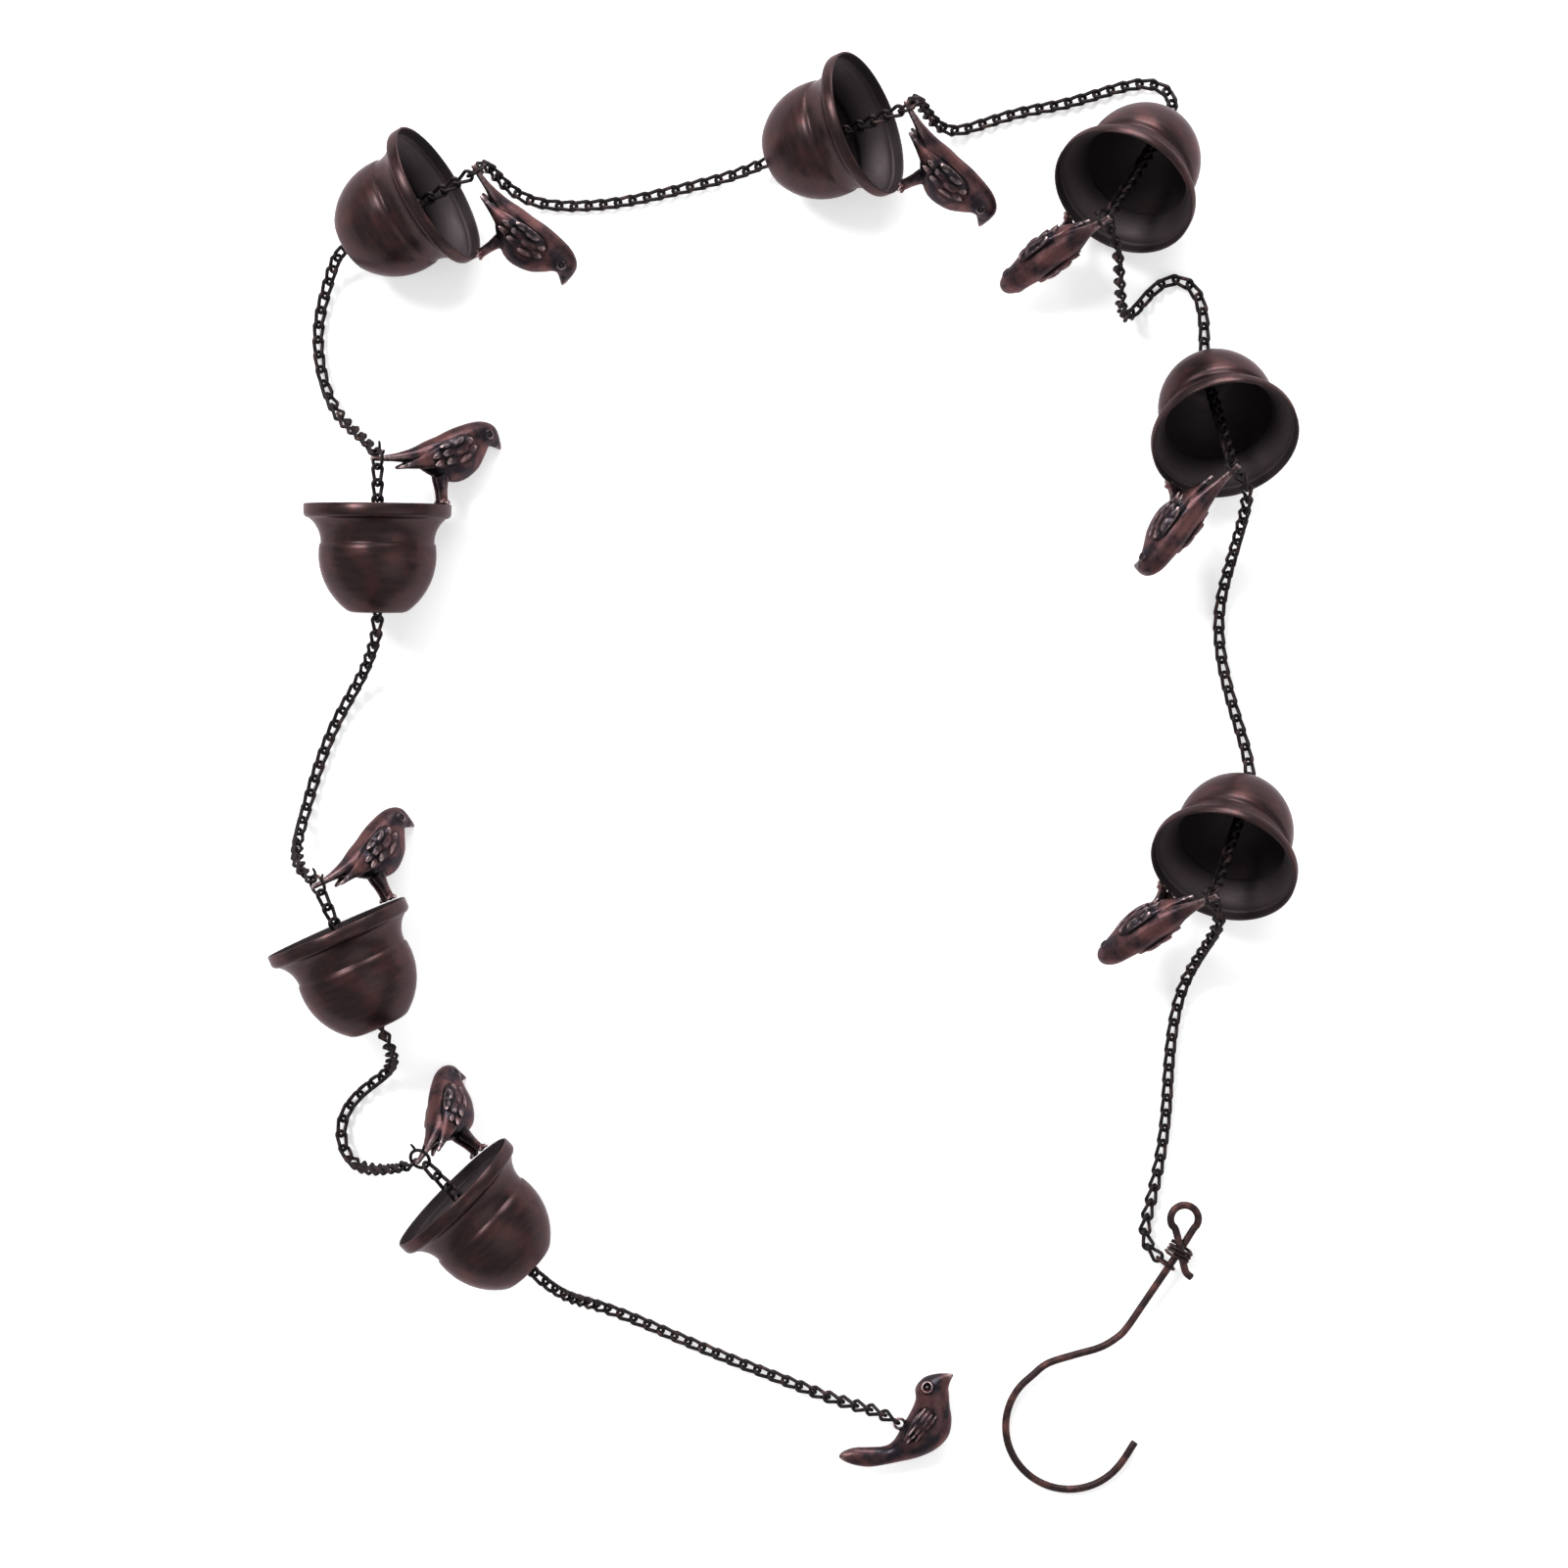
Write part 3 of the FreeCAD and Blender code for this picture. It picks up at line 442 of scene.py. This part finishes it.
hinges = {joint["name"]: joint for joint in frame["joints"]}
cup_frames = {}
for number in CUP_NUMBERS:
    hinge = hinges[f"cup_swivel_{number}"]
    mouth = Vector(hinge["axis"]).normalized()
    middle = Vector(hinge["pos_m"])
    towards = Vector(corners_of(frame["nodes"][f"bird_{number}"].data).mean(0)) - middle
    perch = (towards - mouth * towards.dot(mouth)).normalized()
    turn = Matrix((perch, mouth.cross(perch), mouth)).transposed()
    cup_frames[number] = Matrix.Translation(middle) @ turn.to_4x4()
mark_place(cup_mesh, "cup_place")
cup_mesh.shade_smooth()
for number in CUP_NUMBERS:
    mesh = cup_mesh.copy()
    mesh.transform(cup_frames[number])
    show(f"spun_cup_{number}", mesh, f"cup_unit_{number}", f"cup_{number}")
print("cups", len(cup_frames), "faces each", len(cup_mesh.polygons))

# %% [markdown]
# A link of twisted chain is an oval of wire whose two ends are turned against each other. A tree
# bends one circle into that oval, gives it wire, and sets a copy on every link's place. The places
# come from the frame's own links: the middle and the main directions of each loose piece.

# %% Link places
LINK_WIRE = 2.2
LINK_WIDTH = 8.0
LINK_PITCH = 9.3
LINK_TWIST = 42.0
LINK_POINTS = 24


def loose_pieces(mesh):
    """Triangles of each separate solid in a mesh, as rows of three corners."""
    mesh.calc_loop_triangles()
    triangles = np.empty(len(mesh.loop_triangles) * 3, int)
    mesh.loop_triangles.foreach_get("vertices", triangles)
    points, shared = np.unique(corners_of(mesh).round(7), axis=0, return_inverse=True)
    triangles = shared.reshape(-1)[triangles].reshape(-1, 3)
    label = np.arange(len(points))
    while True:
        spread = label.copy()
        np.minimum.at(spread, triangles.ravel(), np.repeat(label[triangles].min(1), 3))
        spread = spread[spread]
        if (spread == label).all():
            break
        label = spread
    owner = label[triangles[:, 0]]
    return [points[triangles[owner == mark]] for mark in np.unique(owner)]


def link_places(mesh):
    """Middle and turn of every link of a run, from where its skin lies."""
    places = []
    for corners in loose_pieces(mesh):
        first, second = corners[:, 1] - corners[:, 0], corners[:, 2] - corners[:, 0]
        areas = np.linalg.norm(np.cross(first, second), axis=1)
        centres = corners.mean(1)
        middle = np.average(centres, axis=0, weights=areas)
        _, ways = np.linalg.eigh(np.cov((centres - middle).T, aweights=areas))
        along, across = Vector(ways[:, 2]), Vector(ways[:, 1])
        turn = Matrix((along, across, along.cross(across))).transposed()
        places.append((Vector(middle), turn.to_euler()))
    return places


print("links of", LINK_WIRE, "mm wire,", LINK_WIDTH, "mm wide")

# %% [markdown]
# The link's tree moves the points of a circle: half of them to each end, then the two ends turn
# against each other about the long axis. Wire size, width, pitch and twist are its inputs.

# %% Link node tree
tree, given, out = new_tree("twisted_links", {
    "Wire": LINK_WIRE * MM,
    "Width": LINK_WIDTH * MM,
    "Pitch": LINK_PITCH * MM,
    "Twist": math.radians(LINK_TWIST),
})
bend = sums(tree, "MULTIPLY", sums(tree, "SUBTRACT", given["Width"], given["Wire"]), 0.5)
reach = sums(tree, "MULTIPLY", sums(tree, "ADD", given["Pitch"], given["Wire"]), 0.5)
half_leg = sums(tree, "SUBTRACT", reach, bend)
circle = add_node(tree, "GeometryNodeCurvePrimitiveCircle", Resolution=LINK_POINTS).outputs[0]
step = add_node(tree, "GeometryNodeInputIndex").outputs[0]
angle = sums(tree, "MULTIPLY", sums(tree, "ADD", step, 0.5), 2 * math.pi / LINK_POINTS)
end = sums(tree, "COSINE", angle)
hand = sums(tree, "SIGN", end)
side = sums(tree, "MULTIPLY", sums(tree, "SINE", angle), bend)
along = sums(tree, "ADD", sums(tree, "MULTIPLY", end, bend), sums(tree, "MULTIPLY", hand, half_leg))
twist = sums(tree, "MULTIPLY", hand, given["Twist"])
across = sums(tree, "MULTIPLY", side, sums(tree, "COSINE", twist))
rise = sums(tree, "MULTIPLY", side, sums(tree, "SINE", twist))
bent = add_node(tree, "ShaderNodeCombineXYZ", i0=along, i1=across, i2=rise).outputs[0]
oval = add_node(tree, "GeometryNodeSetPosition", i0=circle, Position=bent).outputs[0]
thickness = sums(tree, "MULTIPLY", given["Wire"], 0.5)
section = add_node(tree, "GeometryNodeCurvePrimitiveCircle", Resolution=8, Radius=thickness).outputs[0]
link = add_node(tree, "GeometryNodeCurveToMesh", i0=oval, Profile_Curve=section).outputs[0]
link = add_node(tree, "GeometryNodeSetShadeSmooth", i0=link).outputs[0]
turn = named_rotation(tree, "link_turn")
links = add_node(tree, "GeometryNodeInstanceOnPoints", Points=given["Geometry"], Instance=link,
                 Rotation=turn).outputs[0]
close_tree(tree, out, links, chain_finish)
print("link tree", len(tree.nodes), "nodes")

# %% [markdown]
# Each run is one mesh: a dot for every link, carrying its turn, goes through the tree.

# %% Chain runs
for number in RUN_NUMBERS:
    places = link_places(frame["nodes"][f"chain_{number}"].data)
    dots = bpy.data.meshes.new(f"link_places_{number}")
    dots.from_pydata([middle for middle, _ in places], [], [])
    turns = dots.attributes.new("link_turn", "FLOAT_VECTOR", "POINT")
    turns.data.foreach_set("vector", [value for _, turn in places for value in turn])
    run = grown(f"run_{number}", dots, tree)
    show(f"chain_run_{number}", run, "chain", f"chain_{number}")
    print("run", number, "links", len(places), "faces", len(run.polygons))

# %% [markdown]
# The perched bird is one casting: a slim body that grows out of a straight tail bar, a round head
# with a short bent beak, wings with rows of scale feathers, and two legs whose toes hold the rim.
# Smooth forms are drawn as rows of oval stations; the feathers repeat, so a tree sets them; then
# one voxel remesh melts everything together, as casting does.


# %% Loft helpers
THIN = 0.15


def smooth_rows(rows, steps):
    """More rows between given rows, on a smooth curve through them."""
    rows = np.array(rows, float)
    padded = np.vstack([2 * rows[0] - rows[1], rows, 2 * rows[-1] - rows[-2]])
    result = []
    for a, b, c, d in zip(padded, padded[1:], padded[2:], padded[3:]):
        for t in np.arange(steps) / steps:
            square, cube = 2 * a - 5 * b + 4 * c - d, 3 * b - a - 3 * c + d
            result.append(0.5 * (2 * b + (c - a) * t + square * t**2 + cube * t**3))
    result.append(rows[-1])
    return np.array(result)


def loft(mesh, stations, around=28, steps=4):
    """Add a closed skin through oval stations (x, y, z, slope, half height, half width) in mm."""
    rings = []
    for x, y, z, slope, high, wide in smooth_rows(stations, steps):
        lean = math.radians(slope)
        up = Vector((-math.sin(lean), 0, math.cos(lean)))
        ring = []
        for k in range(around):
            angle = 2 * math.pi * k / around
            point = Vector((x, y, z)) + up * (max(high, THIN) * math.sin(angle))
            point.y += max(wide, THIN) * math.cos(angle)
            ring.append(mesh.verts.new(point))
        rings.append(ring)
    for first, last in zip(rings, rings[1:]):
        for k in range(around):
            mesh.faces.new((first[k], first[(k + 1) % around], last[(k + 1) % around], last[k]))
    mesh.faces.new(rings[0][::-1])
    mesh.faces.new(rings[-1])


def limb(mesh, points, radii, around=14):
    """Add a round tapered limb along a smooth line."""
    rows = smooth_rows([(*point, radius) for point, radius in zip(points, radii)], 4)
    rings = []
    for k, row in enumerate(rows):
        along = Vector(rows[min(k + 1, len(rows) - 1)][:3] - rows[max(k - 1, 0)][:3]).normalized()
        side = along.orthogonal().normalized()
        other = along.cross(side)
        middle, radius = Vector(row[:3]), max(row[3], THIN)
        rings.append([
            mesh.verts.new(middle + (side * math.cos(a) + other * math.sin(a)) * radius)
            for a in (2 * math.pi * n / around for n in range(around))
        ])
    for first, last in zip(rings, rings[1:]):
        reference = min(range(around), key=lambda n: (last[n].co - first[0].co).length)
        for n in range(around):
            mesh.faces.new((first[n], first[(n + 1) % around], last[(n + 1 + reference) % around],
                            last[(n + reference) % around]))
    mesh.faces.new(rings[0][::-1])
    mesh.faces.new(rings[-1])


def eye_ring(mesh, middle, outwards, radius, thickness):
    """Add a raised ring with a dot in it."""
    spin = Vector((0, 0, 1)).rotation_difference(Vector(outwards)).to_matrix().to_4x4()
    ring = bmesh.ops.create_circle(mesh, segments=24, radius=radius)["verts"]
    place = Matrix.Translation(middle) @ spin
    points = [place @ vertex.co for vertex in ring]
    bmesh.ops.delete(mesh, geom=ring, context="VERTS")
    limb(mesh, points + points[:2], [thickness] * (len(points) + 2), 10)
    dot = Matrix.Translation(middle)
    bmesh.ops.create_uvsphere(mesh, u_segments=14, v_segments=10, radius=thickness * 1.25, matrix=dot)


print("loft helpers ready")

# %% [markdown]
# The bird is drawn in its cup's frame, in mm: x runs from the cup's axis out over the rim, and z is
# the height over the mouth. The tail bar lies at the perch height, over the axis, and the feet stand
# on the rim. Wings, eyes and legs come once for each side.

# %% Perched bird body
PERCH = 25.2
FOOT = 40.4
body = bmesh.new()
loft(body, [
    (-3.8, 0, PERCH, 2, 1.4, 1.6),
    (-1.0, 0, PERCH, 3, 1.4, 1.5),
    (4.0, 0, PERCH + 0.3, 5, 1.7, 2.0),
    (12.0, 0, PERCH + 1.0, 6, 2.5, 3.0),
    (22.0, 0, PERCH + 1.8, 8, 4.8, 5.4),
    (33.0, 0, PERCH + 0.6, 16, 10.6, 8.7),
    (44.0, 0, PERCH + 1.0, 27, 14.4, 10.0),
    (54.0, 0, PERCH + 6.4, 33, 14.0, 9.4),
    (61.5, 0, PERCH + 12.0, 28, 10.8, 7.9),
    (66.8, 0, PERCH + 14.9, 10, 8.3, 7.1),
    (70.8, 0, PERCH + 14.4, -18, 7.0, 5.8),
    (73.4, 0, PERCH + 12.6, -38, 4.6, 3.8),
    (75.4, 0, PERCH + 10.7, -46, 2.9, 2.4),
    (77.4, 0, PERCH + 8.7, -50, 1.5, 1.2),
    (78.4, 0, PERCH + 7.4, -54, 0.4, 0.4),
])
WING = [
    (12.5, 2.6, PERCH - 4.8, 14, 0.9, 0.8),
    (21.0, 4.4, PERCH - 2.6, 14, 2.5, 1.7),
    (32.3, 7.3, PERCH + 0.6, 20, 5.6, 2.5),
    (44.4, 8.5, PERCH + 4.8, 27, 7.8, 2.7),
    (53.4, 7.9, PERCH + 9.0, 33, 6.4, 2.2),
    (58.9, 6.6, PERCH + 11.6, 33, 2.2, 1.2),
]
EYE = (67.2, 6.9, PERCH + 15.4)
HIP = (39.4, 2.2, 15.0)
ANKLE = (FOOT, 2.2, 2.4)
TOES = ((-0.4, 5.4), (2.6, 2.6), (-2.4, 1.4))
TOE_DROP = 1.3


def on_side(point, side):
    """A point of the right half, or its mirror image."""
    return Vector((point[0], side * point[1], point[2]))


for side in (1, -1):
    loft(body, [(x, side * y, z, slope, high, wide) for x, y, z, slope, high, wide in WING])
    eye_ring(body, on_side(EYE, side), (0.1, side, 0.15), 2.2, 0.55)
    hip, ankle = on_side(HIP, side), on_side(ANKLE, side)
    limb(body, [hip + Vector((1, 0, 5)), hip, (hip + ankle) / 2, ankle], [5.2, 3.9, 2.7, 2.4])
    for reach, spread in TOES:
        toe = ankle + Vector((reach, side * spread, -TOE_DROP))
        knuckle = ankle.lerp(toe, 0.55) + Vector((0, 0, 0.3))
        limb(body, [ankle - Vector((0, 0, 0.3)), knuckle, toe], [1.9, 1.4, 0.8], 10)
    limb(body, [(-2.0, side * 1.0, PERCH), (-3.9, side * 1.5, PERCH)], [1.0, 0.5], 8)
print("bird rows", len(body.faces), "faces")

# %% [markdown]
# Feathers: rounded scales in rows across the shoulder, and longer ones to the wing's tip. A tree
# sets a flattened ball on each place, with its tip lifted off the wing.

# %% Feather tree
feather_tree, given, out = new_tree("scale_feathers", {"Rings": 10, "Segments": 16})
ball = add_node(feather_tree, "GeometryNodeMeshUVSphere", Segments=given["Segments"],
                Rings=given["Rings"], Radius=1.0).outputs[0]
turn = named_rotation(feather_tree, "feather_turn")
stretch = add_node(feather_tree, "GeometryNodeInputNamedAttribute", {"data_type": "FLOAT_VECTOR"},
                   Name="feather_size").outputs[0]
scales = add_node(feather_tree, "GeometryNodeInstanceOnPoints", Points=given["Geometry"], Instance=ball,
                  Rotation=turn, Scale=stretch).outputs[0]
close_tree(feather_tree, out, scales, bird_finish)
print("feather tree", len(feather_tree.nodes), "nodes")

# %% [markdown]
# A feather's place is found on the wing: the station gives the row, and a height from -1 to 1 says
# how far across the row it lies. It is sunk a little, so that less than half of it stands proud.

# %% Set the feathers
FEATHER_THICKNESS = 0.75
FEATHER_DEPTH = 0.9
FEATHER_ROLL = 0.7


def set_feathers(name, wing, rows, tip_lift):
    """Feathers on both sides of a bird: rows of (station x, heights across, half length, half width)."""
    wing = smooth_rows(wing, 6)
    places, turns, sizes = [], [], []
    for side in (1, -1):
        for x, heights, length, width in rows:
            row = wing[np.abs(wing[:, 0] - x).argmin()]
            for height in heights:
                swing = math.asin(height)
                lean = math.radians(row[3])
                up = Vector((-math.sin(lean), 0, math.cos(lean)))
                point = Vector((row[0], side * row[1], row[2])) + up * row[4] * height
                point.y += side * row[5] * math.cos(swing) * FEATHER_DEPTH
                along = Vector((math.cos(lean), -side * tip_lift, math.sin(lean))).normalized()
                rolled = up * math.sin(swing) * FEATHER_ROLL
                outward = (Vector((0, side * math.cos(swing), 0)) + rolled).normalized()
                across = outward.cross(along).normalized()
                outward = along.cross(across)
                places.append(point)
                turns.append(Matrix((along, across, outward)).transposed().to_euler())
                sizes.append((length, width, FEATHER_THICKNESS))
    dots = bpy.data.meshes.new(f"{name}_places")
    dots.from_pydata(places, [], [])
    turn = dots.attributes.new("feather_turn", "FLOAT_VECTOR", "POINT")
    turn.data.foreach_set("vector", [value for euler in turns for value in euler])
    size = dots.attributes.new("feather_size", "FLOAT_VECTOR", "POINT")
    size.data.foreach_set("vector", [value for triple in sizes for value in triple])
    return grown(name, dots, feather_tree)


feathers = set_feathers("feathers", WING, [
    (53.5, (-0.45, 0.4), 3.6, 2.0),
    (48.0, (-0.72, 0.0, 0.7), 4.4, 2.0),
    (41.5, (-0.5, 0.2, 0.8), 5.0, 2.0),
    (35.0, (-0.5, 0.25), 5.2, 1.7),
], 0.12)
body.from_mesh(feathers)
print("feathers", len(feathers.polygons), "faces")

# %% [markdown]
# The remesh gives one even skin. How far a point stands out is measured against a smoothed copy:
# tips are ahead of it and the gaps between feathers lie behind it.


# %% Melt and measure
VOXEL = 0.45
MELT_ROUNDS = 2
RELIEF_ROUNDS = 24
RELIEF_UNIT = 0.45


def cast(name, parts):
    """One cast skin out of overlapping forms in mm, with its own place and relief kept as attributes."""
    rough = bpy.data.meshes.new(f"{name}_rough")
    bmesh.ops.recalc_face_normals(parts, faces=parts.faces)
    parts.to_mesh(rough)
    parts.free()
    holder = bpy.data.objects.new(f"{name}_rough", rough)
    bpy.context.scene.collection.objects.link(holder)
    melt = holder.modifiers.new("melt", "REMESH")
    melt.mode = "VOXEL"
    melt.voxel_size = VOXEL
    ease = holder.modifiers.new("ease", "SMOOTH")
    ease.factor = 0.5
    ease.iterations = MELT_ROUNDS
    bpy.context.view_layer.update()
    skin = bpy.data.meshes.new_from_object(holder.evaluated_get(bpy.context.evaluated_depsgraph_get()))
    bpy.data.objects.remove(holder)
    skin.name = name
    points = corners_of(skin)
    edges = np.empty(len(skin.edges) * 2, int)
    skin.edges.foreach_get("vertices", edges)
    edges = edges.reshape(-1, 2)
    count = np.bincount(edges.ravel(), minlength=len(points))[:, None]
    softened = points.copy()
    for _ in range(RELIEF_ROUNDS):
        total = np.zeros_like(softened)
        np.add.at(total, edges[:, 0], softened[edges[:, 1]])
        np.add.at(total, edges[:, 1], softened[edges[:, 0]])
        softened = total / count
    normals = np.empty(len(points) * 3)
    skin.vertices.foreach_get("normal", normals)
    relief = ((points - softened) * normals.reshape(-1, 3)).sum(1)
    stands_out = skin.attributes.new("stands_out", "FLOAT", "POINT")
    stands_out.data.foreach_set("value", relief / RELIEF_UNIT)
    skin.transform(Matrix.Scale(MM, 4))
    mark_place(skin, "bird_place")
    skin.materials.clear()
    skin.materials.append(bird_finish)
    skin.shade_smooth()
    print(name, "faces", len(skin.polygons), "relief", relief.min().round(2), relief.max().round(2))
    return skin


bird_mesh = cast("perched_bird", body)
for number in CUP_NUMBERS:
    mesh = bird_mesh.copy()
    mesh.transform(cup_frames[number])
    show(f"cast_bird_{number}", mesh, f"cup_unit_{number}", f"bird_{number}")

# %% [markdown]
# The end weight is a plumper bird with no legs: a thick tail that curves up, ridged wings, and an
# eyelet on its back that the last link goes through. It lies on its side.

# %% End bird
EYELET = Vector((38.5, 0, -7.6))
EYELET_RADIUS = 2.9
EYELET_WIRE = 1.8
EYELET_STEPS = 24
END_HEADING = 36.5
END_EYE = (63.9, 7.3, 1.0)
body = bmesh.new()
loft(body, [
    (-0.2, 0, -1.9, -36, 0.8, 0.8),
    (0.9, 0, -2.7, -36, 2.1, 1.9),
    (3.0, 0, -4.3, -36, 3.5, 3.0),
    (7.0, 0, -7.3, -37, 5.0, 4.1),
    (13.2, 0, -12.4, -36, 5.6, 4.8),
    (21.0, 0, -17.0, -25, 5.2, 5.1),
    (27.5, 0, -19.2, -14, 6.0, 5.9),
    (36.6, 0, -20.0, -1, 9.4, 8.4),
    (45.8, 0, -19.3, 6, 12.2, 9.8),
    (53.5, 0, -17.0, 14, 13.1, 9.9),
    (58.8, 0, -12.6, 22, 12.0, 9.3),
    (61.6, 0, -7.8, 33, 10.5, 8.8),
    (64.4, 0, -3.8, 40, 9.8, 8.3),
    (68.2, 0, -2.1, 26, 8.2, 7.0),
    (72.2, 0, -2.3, 8, 5.5, 4.8),
    (75.8, 0, -2.7, -4, 3.0, 2.7),
    (78.6, 0, -3.1, -10, 1.2, 1.1),
    (79.7, 0, -3.3, -12, 0.4, 0.4),
])
END_WING = [
    (36.0, 7.2, -16.4, 12, 1.2, 0.9),
    (42.0, 8.0, -15.2, 12, 3.8, 1.8),
    (49.0, 8.7, -13.4, 14, 5.2, 2.3),
    (54.5, 8.7, -12.0, 16, 4.8, 2.1),
    (58.5, 7.9, -11.0, 18, 1.9, 1.2),
]
for side in (1, -1):
    loft(body, [(x, side * y, z, slope, high, wide) for x, y, z, slope, high, wide in END_WING])
    eye_ring(body, on_side(END_EYE, side), (0, side, 0.5), 2.9, 0.75)
eyelet_points = [EYELET + Vector((math.cos(a), 0, math.sin(a))) * EYELET_RADIUS
                 for a in (2 * math.pi * k / EYELET_STEPS for k in range(EYELET_STEPS + 2))]
limb(body, eyelet_points, [EYELET_WIRE / 2] * len(eyelet_points), 12)
ridges = set_feathers("ridges", END_WING, [
    (52.5, (-0.75, -0.25, 0.25, 0.75), 5.0, 0.95),
    (45.0, (-0.75, -0.2, 0.4), 6.5, 0.95),
    (39.5, (-0.2,), 5.0, 0.8),
], 0.05)
body.from_mesh(ridges)
end_mesh = cast("end_weight", body)
lying = Matrix.Rotation(math.radians(END_HEADING), 4, "Z") @ Matrix.Rotation(math.radians(-90), 4, "X")
eyelet_place = Vector(hinges["end_bird_swing"]["pos_m"])
end_mesh.transform(Matrix.Translation(eyelet_place - lying @ (EYELET * MM)) @ lying)
show("cast_end_bird", end_mesh, "end_weight", "end_bird")

# %% [markdown]
# The ring round each tail is bent by hand from a bit of wire, and its two ends stick out. They are
# drawn as short tapered limbs on the side that the chain leaves free.

# %% Wire ends
RING_RADIUS = 5.6
END_REACH = 10.2
END_ANGLES = (-20, -65)
END_RADII = (0.85, 0.8, 0.6)
END_STRAIGHT = 2.0
END_LEAN = 0.8


def plain_mesh(name, forms, place, finish):
    """A smooth mesh out of drawn forms in mm, set in its place."""
    bmesh.ops.recalc_face_normals(forms, faces=forms.faces)
    mesh = bpy.data.meshes.new(name)
    forms.to_mesh(mesh)
    forms.free()
    mesh.transform(place @ Matrix.Scale(MM, 4))
    mesh.materials.append(finish)
    mesh.shade_smooth()
    return mesh


for number in CUP_NUMBERS:
    ends = bmesh.new()
    middle = Vector((0, 0, PERCH))
    for angle in END_ANGLES:
        outwards = Vector((0, math.sin(math.radians(angle)), math.cos(math.radians(angle))))
        tip = middle + outwards * END_REACH - Vector((END_LEAN, 0, 0))
        points = [middle + outwards * (RING_RADIUS + further) for further in (0, END_STRAIGHT)] + [tip]
        limb(ends, points, END_RADII, 10)
    mesh = plain_mesh(f"wire_ends_{number}", ends, cup_frames[number], chain_finish)
    show(mesh.name, mesh, "chain")
print("wire ends on", len(CUP_NUMBERS), "rings")

# %% [markdown]
# The hook is one thick wire. Its line is drawn flat, from the middle of the big bend: the tip, the
# bend, a straight shank, and a round eye whose end is laid back over the neck. Then the whole line
# is tipped a little, because the eye lies higher than the bend.

# %% Hook
HOOK_WIRE = 4.2
HOOK_BEND = 36.2
HOOK_MIDDLE = Vector((162.8, -368.0, 4.15))
HOOK_RISE = 0.0555
HOOK_TIP = Vector((37.3, -8.8, 0))
SHANK = [(-12.2, 36.4), (3.0, 41.4), (17.0, 45.5), (26.4, 51.0), (32.4, 57.0), (42.4, 71.8),
         (61.8, 101.0)]
HOOK_EYE = Vector((64.6, 119.6, 0))
HOOK_EYE_RADIUS = 7.9
EYE_START = -50
EYE_SWEEP = 280
EYE_LIFT = 1.8
BEND_START = -37
BEND_END = -235
LAID_OVER = [(62.2, 101.6, 4.4), (64.0, 93.5, 4.2), (65.4, 89.3, 3.4), (68.4, 86.6, 2.6)]


def on_circle(middle, radius, degrees):
    """A point of a flat circle."""
    angle = math.radians(degrees)
    return middle + Vector((math.cos(angle), math.sin(angle), 0)) * radius


line = [HOOK_TIP]
line += [on_circle(Vector(), HOOK_BEND, turned) for turned in np.linspace(BEND_START, BEND_END, 12)]
line += [Vector((x, y, 0)) for x, y in SHANK]
for share in np.linspace(0, 1, 13):
    lift = Vector((0, 0, EYE_LIFT * share))
    line.append(on_circle(HOOK_EYE, HOOK_EYE_RADIUS, EYE_START + EYE_SWEEP * share) + lift)
line += [Vector(point) for point in LAID_OVER]
uphill = HOOK_EYE.normalized()
line = [HOOK_MIDDLE + point + Vector((0, 0, HOOK_RISE * point.dot(uphill))) for point in line]
wire = bmesh.new()
limb(wire, line, [HOOK_WIRE / 2] * len(line), 18)
mesh = plain_mesh("bent_hook", wire, Matrix.Identity(4), hook_finish)
show("bent_hook", mesh, "chain", "hook")
print("hook points", len(line))
